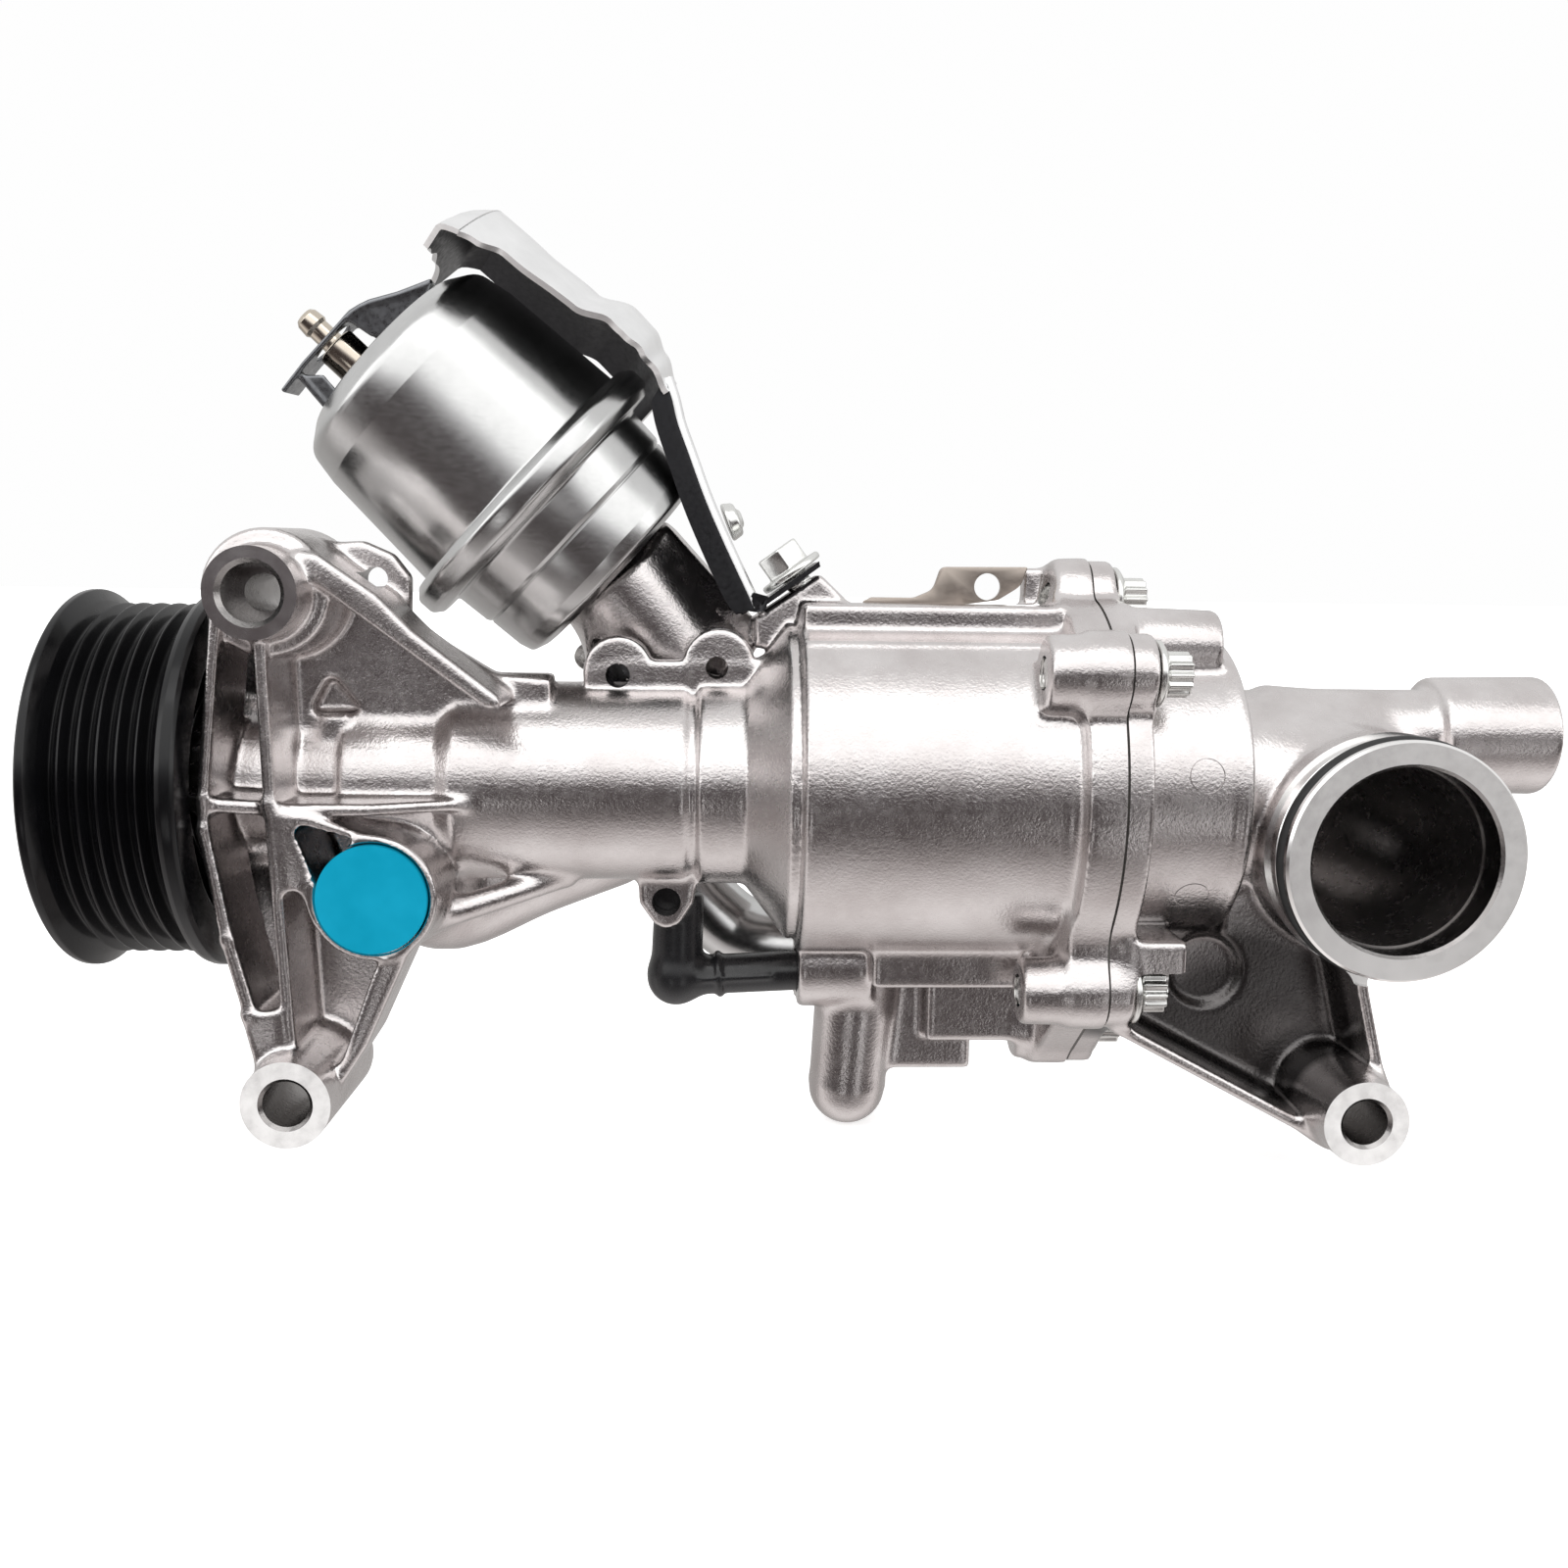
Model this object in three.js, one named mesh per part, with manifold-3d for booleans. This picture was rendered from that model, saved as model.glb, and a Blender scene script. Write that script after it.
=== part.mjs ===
// A belt-driven engine coolant pump with a vacuum-operated shut-off valve, in millimetres.
// The origin is on the shaft axis at the front end of the shaft, flush with the pulley's outer face.
// +X runs along the shaft to the suction end, -Y is the side that bolts to the engine, +Z is up.

import * as THREE from "three";
import { mergeVertices } from "three/addons/utils/BufferGeometryUtils.js";
import Module from "manifold-3d";

const wasm = await Module();
wasm.setup();

// ---- driving dimensions ----

const GAP = 0.3; // clearance between neighbouring pieces
const ENGINE_Y = -37; // plane of the machined faces that meet the engine
const RIB_Y = -30; // front edges of the casting's ribs
const WEB_Y = [-10, -5]; // the thin webs between the ribs
const ROUND = 32; // sides of the large turned shapes
const BORE = 20; // sides of their bores, and of the middling shapes
const SMALL = 12; // sides of the small shapes

const PULLEY = { width: 29.4, rim: 38.6, crest: 36.2, valley: 33.2, cup: 30, pitch: 3.56, ribs: 6 };
const BEARING = { outer: 15, track: 13.8, balls: 11.5, ball: 2, inner: 9.2, width: 14 };
const FRONT_BEARING_X = 28;
const REAR_BEARING_X = 98;
const SHAFT = { radius: 8, nose: 6, shoulder: 200, end: 222 };

const NECK = { start: 77, end: 126.5, radius: 20.7 };
const CHAMBER = { start: 145, end: 198, radius: 35.6, inside: 30.5 };
const JOINT_X = 204.6; // the housing's face at the cover joint
const GASKET = 0.6;
const COVER_X = JOINT_X + GASKET + 2 * GAP;
const COVER_FLANGE = 6.4;
const VOLUTE = { end: 232.5, radius: 31, inside: 27.5 };

const BOSS = { radius: 8.5, hole: 4.5 };
const UPPER_LEFT = [44, 38.7]; // x and z of the three engine bosses
const LOWER_LEFT = [47.2, -57.5];
const LOWER_RIGHT = [256.1, -61.8];

const INLET = { x: 260.5, z: -9.7, radius: 23.6, bore: 18.4, body: 21.2 };
const HEATER = { y: 4, z: 10.8, radius: 12.8, neck: 9.7, bore: 8.2, step: 282, end: 306 };
const PORT = { x: 62.9, z: -19, face: -30.5, ring: 12.4, bore: 10.9 };
const DUCT = [
  [62.9, 4, -21],
  [70, 15, -27],
  [86, 21, -21],
  [103, 24, -15],
];
const TRANSFER = [
  [100.5, 23.9, -15.4],
  [110, 26, -16.5],
  [118, 27, -22],
  [125, 27, -31.5],
  [134, 25, -38.5],
  [143, 20.5, -40.5],
  [151, 18, -40.5],
];
const TRANSFER_RADIUS = 8.3;
const BYPASS = { y: 4.4, top: [120.4, -24.8], corner: [119.8, -43.5], end: [147, -42.2], bore: 4.9 };

const COVER_BOLTS = [
  { name: "upper_front", y: -32, z: 25.5, boss: 7.7, start: 190 },
  { name: "lower_front", y: -26, z: -38, boss: 7, start: 188.5 },
  { name: "top", y: 1, z: 39.2, boss: 7.8, start: 193 },
  { name: "upper_rear", y: 31, z: 26, boss: 7.5, start: 190 },
  { name: "lower_rear", y: 36, z: -24, boss: 7.5, start: 190 },
  { name: "bottom", y: 6, z: -54.5, boss: 8, start: 194 },
];

// The vacuum can's own frame: x along the push rod to the valve, z up and right, origin at the crimped rim.
const CAN = { centre: [88.6, 10, 59.4], pitch: 43, yaw: 5.7, rim: 31.3, bottom: 23.6 };
const ROD_PIN = 44; // the middle of the rod's slot along the can's axis, at rest
const LEVER = { arm: 11, tilt: 20.8 };
const TAB = { low: [136.5, 35.2], high: [149, 44.3], bolt: 0.7 };

// ---- materials ----

const finish = (color, roughness, metalness) =>
  new THREE.MeshStandardMaterial({ color, roughness, metalness });
const CAST = finish(0xb3aaa8, 0.5, 0.9);
const BRIGHT_STEEL = finish(0xbfc1c2, 0.25, 1);
const ZINC = finish(0xc9ccce, 0.3, 1);
const DARK_STEEL = finish(0x4a4c4e, 0.35, 1);
const BLACK_PAINT = finish(0x0d0d0e, 0.22, 0.1);
const BLACK_PLASTIC = finish(0x101011, 0.3, 0);
const RUBBER = finish(0x151515, 0.7, 0);
const BLUE_PLASTIC = finish(0x12a3cd, 0.4, 0);
const BRASS = finish(0xb08d4a, 0.35, 1);
const CARBON = finish(0x2b2b2d, 0.6, 0.2);
const GASKET_STEEL = finish(0x55504c, 0.5, 0.8);

// ---- shapes ----

function toSolid(shape) {
  if (!shape.isBufferGeometry) return shape;
  const soup = shape.index ? shape.toNonIndexed() : shape.clone();
  for (const name of Object.keys(soup.attributes)) {
    if (name !== "position") soup.deleteAttribute(name);
  }
  const merged = mergeVertices(soup, 1e-4);
  const corners = merged.index.array;
  const triangles = [];
  for (let i = 0; i < corners.length; i += 3) {
    const [a, b, c] = corners.slice(i, i + 3);
    if (a !== b && b !== c && c !== a) triangles.push(a, b, c);
  }
  const build = (order) =>
    new wasm.Manifold(
      new wasm.Mesh({
        numProp: 3,
        vertProperties: merged.attributes.position.array,
        triVerts: new Uint32Array(order),
      }),
    );
  const made = build(triangles);
  return made.volume() < 0 ? build(triangles.reverse()) : made;
}

const join = (...shapes) => shapes.map(toSolid).reduce((all, next) => all.add(next));
const cut = (body, ...tools) =>
  tools.map(toSolid).reduce((left, tool) => left.subtract(tool), toSolid(body));

// A turned shape about X, from a profile of [x, radius] points.
function turned(profile, sides = ROUND) {
  const points = profile.map(([x, r]) => new THREE.Vector2(r, x));
  const [first, last] = [points[0], points[points.length - 1]];
  if (first.x > 0 || last.x > 0) points.push(first.clone());
  return new THREE.LatheGeometry(points, sides).rotateZ(-Math.PI / 2);
}

const ring = (x0, x1, inner, outer, sides = SMALL) =>
  turned([[x0, inner], [x0, outer], [x1, outer], [x1, inner]], sides);

const outlineOf = (points) => new THREE.Shape(points.map(([u, v]) => new THREE.Vector2(u, v)));

function extruded(outline, depth) {
  const shape = Array.isArray(outline) ? outlineOf(outline) : outline;
  return new THREE.ExtrudeGeometry(shape, { depth, bevelEnabled: false, curveSegments: 8 });
}

// An outline of [x, z] points between two depths, and an outline of [y, z] points between two stations.
const alongY = (outline, y0, y1) => extruded(outline, y1 - y0).rotateX(Math.PI / 2).translate(0, y1, 0);

function alongX(outline, x0, x1) {
  const [x, y, z] = [[1, 0, 0], [0, 1, 0], [0, 0, 1]].map((axis) => new THREE.Vector3(...axis));
  const turn = new THREE.Matrix4().makeBasis(y, z, x);
  return extruded(outline, x1 - x0).applyMatrix4(turn).translate(x0, 0, 0);
}

const block = (x0, x1, y0, y1, z0, z1) =>
  new THREE.BoxGeometry(x1 - x0, y1 - y0, z1 - z0).translate((x0 + x1) / 2, (y0 + y1) / 2, (z0 + z1) / 2);

function rod(from, to, r0, r1 = r0, sides = SMALL) {
  const [start, end] = [new THREE.Vector3(...from), new THREE.Vector3(...to)];
  const run = end.clone().sub(start);
  const upright = new THREE.Vector3(0, 1, 0);
  const turn = new THREE.Quaternion().setFromUnitVectors(upright, run.clone().normalize());
  const middle = start.clone().add(end).multiplyScalar(0.5);
  return new THREE.CylinderGeometry(r1, r0, run.length(), sides)
    .applyQuaternion(turn)
    .translate(...middle.toArray());
}

const ball = (centre, radius, sides = SMALL) =>
  new THREE.SphereGeometry(radius, sides, sides / 2).translate(...centre);

function tube(points, radius, steps, sides = SMALL) {
  const path = new THREE.CatmullRomCurve3(points.map((p) => new THREE.Vector3(...p)));
  const section = new THREE.Shape();
  for (let i = 0; i < sides; i++) {
    const turn = (2 * Math.PI * i) / sides;
    const [u, v] = [radius * Math.cos(turn), radius * Math.sin(turn)];
    if (i === 0) section.moveTo(u, v);
    else section.lineTo(u, v);
  }
  return new THREE.ExtrudeGeometry(section, { extrudePath: path, steps, bevelEnabled: false });
}

// A straight rib in the XZ plane, and a bent strip of sheet metal.
function wall(from, to, thickness, y0, y1) {
  return alongY(strip([from, to], thickness), y0, y1);
}

function strip(path, thickness) {
  const side = (sign) =>
    path.map(([x, z], i) => {
      const [ax, az] = path[Math.max(i - 1, 0)];
      const [bx, bz] = path[Math.min(i + 1, path.length - 1)];
      const length = Math.hypot(bx - ax, bz - az);
      const offset = (sign * thickness) / 2 / length;
      return [x - (bz - az) * offset, z + (bx - ax) * offset];
    });
  return [...side(-1), ...side(1).reverse()];
}

// Part of a ring in the YZ plane; angles are from +Z towards -Y, in degrees.
function sector(inner, outer, from, to, steps = 8) {
  const arc = (radius, a, b) =>
    Array.from({ length: steps + 1 }, (_, i) => {
      const angle = THREE.MathUtils.degToRad(a + ((b - a) * i) / steps);
      return [-radius * Math.sin(angle), radius * Math.cos(angle)];
    });
  return [...arc(inner, from, to), ...arc(outer, to, from)];
}

const canFrame = new THREE.Matrix4()
  .makeRotationFromEuler(
    new THREE.Euler(0, THREE.MathUtils.degToRad(CAN.pitch), THREE.MathUtils.degToRad(CAN.yaw), "YZX"),
  )
  .setPosition(...CAN.centre);
const inCanFrame = (geometry) => geometry.applyMatrix4(canFrame);

// ---- the part ----

const pump = new THREE.Group();
pump.name = "water_pump";
const actuator = new THREE.Group();
actuator.applyMatrix4(canFrame);
pump.add(actuator);

function add(name, shape, material, group = pump) {
  const { vertProperties, triVerts } = toSolid(shape).getMesh();
  const geometry = new THREE.BufferGeometry()
    .setAttribute("position", new THREE.BufferAttribute(new Float32Array(vertProperties), 3))
    .setIndex(new THREE.BufferAttribute(new Uint32Array(triVerts), 1))
    .toNonIndexed();
  geometry.computeVertexNormals();
  const mesh = new THREE.Mesh(geometry, material);
  mesh.name = name;
  group.add(mesh);
}

// A drilled boss along Y, with its machined face on the engine side.
const engineBoss = ([x, z], back) =>
  rod([x, ENGINE_Y, z], [x, back, z], BOSS.radius, BOSS.radius + 0.6, 16);
const engineHole = ([x, z], radius = BOSS.hole) => rod([x, ENGINE_Y - 1, z], [x, 20, z], radius);

// The joint flange's outline, shared by the housing, the gasket and the cover.
function jointFlange(x0, x1, grow = 0) {
  const lobes = COVER_BOLTS.map(({ y, z, boss }) => rod([x0, y, z], [x1, y, z], boss + grow, boss + grow));
  const skirt = [[-31, -36], [-22, -44], [0, -61], [13, -60], [40, -30], [33, -12], [-30, -14]];
  const disc = turned([[x0, 0], [x0, 40 + grow], [x1, 40 + grow], [x1, 0]]);
  return join(disc, alongX(skirt, x0, x1), ...lobes);
}

const boltHoles = (x0, x1, radius) =>
  COVER_BOLTS.map(({ y, z }) => rod([x0, y, z], [x1, y, z], radius, radius, 10));

function leftArm() {
  const plate = [
    [33, 42], [38, 50], [46, 51], [54, 47], [95, 22], [95, 0], [77, -14], [74, -26], [64, -36], [55, -56],
    [40, -58], [35, -40], [29.5, -12], [29.5, 0],
  ];
  const tab = [[50, 44], [53, 50.5], [59.5, 50.5], [69, 41], [69, 30]];
  return join(
    alongY(plate, ...WEB_Y),
    alongY(tab, -11, -7),
    engineBoss(UPPER_LEFT, 2),
    engineBoss(LOWER_LEFT, -4),
    rod([44, -28, 38.7], [44, -2, 38.7], 12, 12.6, 16),
    wall([36, 34], [31.5, -1], 3.2, RIB_Y, WEB_Y[0] + 1),
    wall([43, 34], [42.7, -1], 3.4, RIB_Y, WEB_Y[0] + 1),
    wall([31.5, 0], [33.2, -12], 3.2, RIB_Y, WEB_Y[0] + 1),
    wall([33.2, -10], [40, -52], 3.2, RIB_Y, WEB_Y[0] + 1),
    wall([42.7, 0], [46, -50], 3.6, RIB_Y, WEB_Y[0] + 1),
    wall([25.5, -1], [79, -1], 3.2, RIB_Y + 2, WEB_Y[0] + 1),
    wall([48, 44.5], [91, 19], 4, RIB_Y, WEB_Y[0] + 1),
    wall([71.5, -25], [53, -55], 3.2, RIB_Y, WEB_Y[0] + 1),
    wall([72, -24], [88, -15], 3, -24, WEB_Y[0] + 1),
    wall([43, -6], [52, -10], 3, RIB_Y, WEB_Y[0] + 1),
    alongY([[39, -38], [52, -42], [52, -52], [42, -52]], -22, WEB_Y[0] + 1),
    rod([PORT.x, PORT.face, PORT.z], [PORT.x, 4, PORT.z], PORT.ring, PORT.ring + 1, BORE),
  );
}

// The discharge duct behind the neck, from the engine port to the transfer pipe.
function dischargeDuct(radius) {
  return join(
    tube(DUCT, radius, 5),
    rod([PORT.x, -16, PORT.z], [PORT.x, 6, PORT.z - 2], radius - 0.2),
  );
}

// The tower that carries the vacuum can and houses the valve lever.
function tower() {
  const side = [[24.5, 19.5], [57, 13.2], [62, 2], [50, -26], [33.7, -19.5], [24.5, -10]];
  return inCanFrame(alongY(side, -9, 16));
}

function towerRoom() {
  const room = inCanFrame(alongY([[31, 9], [52, 9], [54, 0], [49, -20], [36, -20], [31, -14]], -5, 17));
  return cut(room, turned([[80, 0], [80, 18.8], [150, 18.8], [150, 0]]));
}

function lobedPlate() {
  const body = alongY([[101, 10], [100.8, 24], [138, 29.5], [142, 20], [138, 10]], -6.5, -1);
  return join(
    body,
    rod([107.5, -6.5, 25], [107.5, 2, 25], 6.8),
    rod([128.6, -6.5, 25.4], [128.6, 2, 25.4], 7.2),
    alongY([[136, 34.6], [149.5, 43.6], [157, 36.5], [150, 28], [136, 28]], -6, 14),
  );
}

// Pads, ribs and ducts on the outside of the pump chamber.
function chamberDetails() {
  const bosses = COVER_BOLTS.map(({ y, z, boss, start }) =>
    rod([start, y, z], [JOINT_X, y, z], boss - 0.4, boss),
  );
  return join(
    block(147, 197, -10, 13, 20, 37.6),
    block(148, 197, -19, 20, 20, 34.4),
    rod([161, 8, -25], [157.8, 8, -69.5], 9.4, 8.4),
    ball([157.8, 8, -69.5], 8.4),
    rod([146, 5, -40], [162, 5, -40], 10, 10, 16),
    rod([146, 18, -40], [162, 18, -40], 12, 12, 16),
    block(161, 192, -13, 14, -41.5, -24),
    block(165.5, 185, 5, 27, -65, -20),
    block(174, 199, -2, 24, -56.5, -20),
    alongY([[112, -14], [112.3, -25], [118, -30.6], [123.7, -25], [125, -14]], -7, -1.5),
    ...bosses,
  );
}

function pumpHousing() {
  const core = turned([
    [24.5, 0], [24.5, 19], [36, 19], [37, 16.5], [75.5, 16.5], [NECK.start + 1, NECK.radius],
    [NECK.end, NECK.radius], [NECK.end, 21.4], [134.7, 21.4], [CHAMBER.start, CHAMBER.radius],
    [CHAMBER.end + 2, CHAMBER.radius], [CHAMBER.end + 2, 0],
  ]);
  const body = join(
    core,
    leftArm(),
    dischargeDuct(13),
    tower(),
    lobedPlate(),
    chamberDetails(),
    jointFlange(CHAMBER.end, JOINT_X),
  );
  const shaftBore = turned([
    [20, 0], [20, BEARING.outer + GAP], [44, BEARING.outer + GAP], [44, 9.5], [97, 9.5],
    [97, BEARING.outer + GAP], [134, BEARING.outer + GAP], [134, 13.3], [193, 13.3], [193, 0],
  ], BORE);
  const chamber = turned([
    [152, 17.5], [192, 17.5], [192, 0], [JOINT_X + 1, 0], [JOINT_X + 1, CHAMBER.inside],
    [155, CHAMBER.inside], [152, 27.5],
  ], BORE);
  return cut(
    body,
    shaftBore,
    chamber,
    engineHole(UPPER_LEFT, 3.6),
    rod([44, ENGINE_Y - 1, 38.7], [44, ENGINE_Y + 9, 38.7], 5.2),
    engineHole(LOWER_LEFT),
    rod([PORT.x, PORT.face - 1, PORT.z], [PORT.x, -14, PORT.z], PORT.bore, PORT.bore, BORE),
    dischargeDuct(TRANSFER_RADIUS + GAP),
    transferPipe(TRANSFER_RADIUS + GAP),
    alongY([[47.5, -6], [55, -7.5], [50.5, -14]], RIB_Y - 1, -11),
    rod([59.7, -12, 41.5], [59.7, -4, 41.5], 2.6),
    towerRoom(),
    inCanFrame(rod([20, 0, 0], [34, 0, 0], 4.2)),
    inCanFrame(rod([40, -7.2, -LEVER.arm], [40, -4, -LEVER.arm], 3.3)),
    rod([107.5, -8, 22.6], [107.5, -3, 22.6], 2.4),
    rod([128.5, -8, 24], [128.5, -3, 24], 2.4),
    rod([118, -8, -25], [118, 0, -25], 3),
    rod([88, 0, -24], [88, 0, -8], 2, 2, 8),
    rod([150, 18, -40.5], [157, 18, -40.5], 7.5),
    rod([154, 17, -38], [160, 12, -24], 6),
    rod([145, BYPASS.y, BYPASS.end[1]], [149.5, BYPASS.y, BYPASS.end[1]], BYPASS.bore),
    shieldBoltHole(),
    ...boltHoles(180, JOINT_X + 1, 3.3),
  );
}

const ELBOW = [
  [224, 3, -1],
  [240, 3, -2.5],
  [252, 0, -5.5],
  [259, -8, -8.6],
  [INLET.x, -16, INLET.z + 0.1],
  [INLET.x, -29, INLET.z],
];

function pumpCover() {
  const inlet = (y0, y1, radius, sides = ROUND) =>
    rod([INLET.x, y0, INLET.z], [INLET.x, y1, INLET.z], radius, radius, sides);
  const heater = (x0, x1, radius) =>
    rod([x0, HEATER.y, HEATER.z], [x1, HEATER.y, HEATER.z], radius, radius, 18);
  const web = [[206, -34], [209, -46], [251, -69.5], [262, -62], [262, -50], [257, -33], [238, -20]];
  const [bossX, bossZ] = LOWER_RIGHT;
  const seat = COVER_X + COVER_FLANGE;
  const { y: boltY, z: boltZ } = COVER_BOLTS[1];
  const outside = turned([[seat - 1, 0], [seat - 1, 28.5], [240, 28.5], [240, 0]]);
  const body = join(
    jointFlange(COVER_X, COVER_X + COVER_FLANGE),
    turned([[COVER_X, 0], [COVER_X, VOLUTE.radius], [229.5, VOLUTE.radius], [230, VOLUTE.radius + 0.7],
      [231.8, VOLUTE.radius + 0.7], [VOLUTE.end, VOLUTE.radius - 0.5], [VOLUTE.end, 0]]),
    tube(ELBOW, INLET.body + 1.6, 7, BORE),
    inlet(-30.8, -26.5, INLET.radius - 0.2),
    inlet(-36, -30, 20.2),
    inlet(ENGINE_Y, -35.2, INLET.radius),
    heater(246, HEATER.step, HEATER.neck),
    heater(HEATER.step, HEATER.end, HEATER.radius),
    rod([211, -12, 30], [229, -12, 30], 7.7, 7.3),
    block(211, 221, -31, -15, -41, -27),
    alongY(web, ...WEB_Y),
    engineBoss(LOWER_RIGHT, -3),
    wall([209, -45.5], [bossX - 3, bossZ - 7.2], 2.6, RIB_Y + 2, WEB_Y[0] + 1),
    wall([256.5, -30], [bossX + 7.2, bossZ + 3], 2.6, RIB_Y + 2, WEB_Y[0] + 1),
  );
  return cut(
    body,
    turned([[COVER_X - 1, 0], [COVER_X - 1, VOLUTE.inside], [227, VOLUTE.inside], [227, 0]], BORE),
    tube(ELBOW, 17.2, 7, 16),
    inlet(ENGINE_Y - 1, -27, INLET.bore, BORE),
    heater(250, HEATER.end + 1, HEATER.bore),
    heater(HEATER.step + 3, HEATER.end + 1, 10.6),
    engineHole(LOWER_RIGHT),
    rod([seat + 0.1, boltY, boltZ], [225, boltY, boltZ], 7.2, 7.2, 16),
    ...boltHoles(COVER_X - 1, 230, 3.3).map((hole) => cut(hole, outside)),
  );
}

// A screw along +X from its head's seat: the shank runs to -X.
function flangeBolt(length, head = 5, sides = 12) {
  return join(
    turned([[-length, 0], [-length, 3], [0, 3], [0, 6.6], [1.4, 6.4], [2.2, 0]], SMALL),
    rod([1, 0, 0], [2 + head, 0, 0], 4.4, 4.4, sides),
  );
}

function pulley() {
  const { width, rim, crest, valley, cup, pitch, ribs } = PULLEY;
  const first = 3.4;
  const grooves = Array.from({ length: ribs }, (_, i) => [
    [first + pitch * i + 0.5, crest],
    [first + pitch * (i + 0.5), valley],
  ]).flat();
  return turned([
    [0.6, cup], [0.6, rim - 0.8], [1.4, rim], [2.6, rim], ...grooves, [first + pitch * ribs + 0.4, crest],
    [26, rim - 0.6], [27, rim], [28.6, rim], [width, rim - 1], [width, cup], [9, cup - 1.4], [8, cup - 4],
    [7.7, 8.6], [3.9, 8.6], [3.9, cup - 5], [2.6, cup - 2],
  ]);
}

const PULLEY_BOLT_CIRCLE = 13.5;
const atPulleyBolt = (i) => {
  const turn = (2 * Math.PI * i) / 3 + 0.4;
  return [PULLEY_BOLT_CIRCLE * Math.cos(turn), PULLEY_BOLT_CIRCLE * Math.sin(turn)];
};

function drivePulley() {
  const holes = [0, 1, 2].map((i) => rod([2, ...atPulleyBolt(i)], [9, ...atPulleyBolt(i)], 3.3));
  return cut(pulley(), ...holes);
}

function hubFlange() {
  const holes = [0, 1, 2].map((i) => rod([7, ...atPulleyBolt(i)], [14, ...atPulleyBolt(i)], 3.3));
  const hub = turned([[8, 8.3], [8, 19], [12, 19], [12, 12.5], [22.5, 12], [22.5, 8.3]], BORE);
  return cut(hub, ...holes);
}

// Two rings and a caged row of balls, each ring a piece of its own.
function addBearing(name, x) {
  const { outer, track, balls, ball: radius, inner, width } = BEARING;
  const middle = x + width / 2;
  add(name + "_outer_ring", ring(x, x + width, track, outer, BORE), BRIGHT_STEEL);
  add(name + "_inner_ring", ring(x, x + width, SHAFT.radius + GAP, inner, BORE), BRIGHT_STEEL);
  const row = Array.from({ length: 8 }, (_, i) => {
    const turn = (2 * Math.PI * i) / 8;
    const place = [middle, balls * Math.cos(turn), balls * Math.sin(turn)];
    return new THREE.IcosahedronGeometry(radius, 0).translate(...place);
  });
  const cage = ring(middle - 1.2, middle + 1.2, balls - 0.8, balls + 0.8, 16);
  add(name + "_ball_cage", join(cage, ...row), BRASS);
}

function impeller() {
  const blades = Array.from({ length: 6 }, (_, i) => {
    const curve = [0, 1, 2, 3, 4].map((k) => {
      const radius = 8 + 3.9 * k;
      const angle = (Math.PI / 3) * i - 0.24 * k;
      return [radius * Math.cos(angle), radius * Math.sin(angle)];
    });
    return alongX(strip(curve, 2), 209, 220);
  });
  const hub = turned([[206.5, 0], [206.5, 24], [209.5, 24], [210.5, 9.5], [222, 8.5], [222, 0]], BORE);
  return cut(join(hub, ...blades), rod([200, 0, 0], [225, 0, 0], SHAFT.nose + GAP + 0.1));
}

// The shield's tab, in the frame of the part: the plane that the shield bolt clamps.
const tabAlong = new THREE.Vector2(...TAB.high).sub(new THREE.Vector2(...TAB.low)).normalize();
const tabPoint = (along, out) => [
  TAB.low[0] + (TAB.high[0] - TAB.low[0]) * along - tabAlong.y * out,
  4,
  TAB.low[1] + (TAB.high[1] - TAB.low[1]) * along + tabAlong.x * out,
];

function shieldBoltHole() {
  return rod(tabPoint(TAB.bolt, -9), tabPoint(TAB.bolt, 4), 3.3);
}

function heatShield() {
  const local = (x, z) => {
    const p = new THREE.Vector3(x, 0, z).applyMatrix4(canFrame);
    return [p.x, p.z];
  };
  const out = (along, lift) => {
    const [x, , z] = tabPoint(along, lift);
    return [x, z];
  };
  const roof = inCanFrame(alongX(sector(34, 35.2, -42, 38), -45, -2.2));
  const step = inCanFrame(alongX(sector(34, 38.2, -34, 34), -3.4, -2.2));
  const brow = inCanFrame(alongX(sector(37, 38.2, -34, 34), -3.4, 4.6));
  const flap = inCanFrame(alongX(sector(24, 35.2, -42, 10), -46.2, -45));
  const strap = [local(4, 37.6), local(14, 32.4), local(28.5, 25.6), local(50.8, 16.4)];
  const bend = [...strap, out(0.06, 1), out(1, 1)];
  return cut(join(roof, step, brow, flap, alongY(strip(bend, 1.2), -3, 17)), shieldBoltHole());
}

function canShells() {
  const upper = turned([
    [-42, 4.6], [-42, 18], [-40.5, 22.6], [-37, 25], [-30, 25.9], [-3, 27.9], [-2.4, 29.6],
    [-0.4, 29.6], [-0.4, 28.6], [-2, 26.9], [-36.6, 23.9], [-39.6, 21.8], [-40.9, 17.6], [-40.9, 4.6],
  ], 32);
  const lower = turned([
    [CAN.bottom, 4.2], [CAN.bottom, 21.5], [22.6, 24.2], [20, 25.3], [12, 25.8], [11, 26.3],
    [3.6, 26.6], [3.3, 29], [2.2, 30.9], [0, CAN.rim], [-2.2, 30.9], [-3.1, 29.4], [-2.7, 29.9],
    [1.2, 29.9], [1.6, 25.6], [19.6, 24.2], [21.8, 23], [22.4, 21.2], [22.4, 4.2],
  ], 32);
  const shifted = (x0, x1, r) => rod([x0, 0, -5.4], [x1, 0, -5.4], r);
  const top = turned([[-42, 0], [-42, 5], [-40.9, 5], [-40.9, 0]], 32);
  return { upper: cut(join(upper, top), shifted(-44, -39, 3.2)), lower };
}

function vacuumNipple() {
  const at = (x0, x1, r0, r1 = r0) => rod([x0, 0, -5.4], [x1, 0, -5.4], r0, r1);
  return cut(
    join(at(-50, -42.3, 4.3), at(-57.4, -50, 2.3, 2.4), at(-58.2, -57.4, 1.9, 2.4), at(-42.4, -39.5, 2.8)),
    at(-59, -39, 1.2),
  );
}

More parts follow.
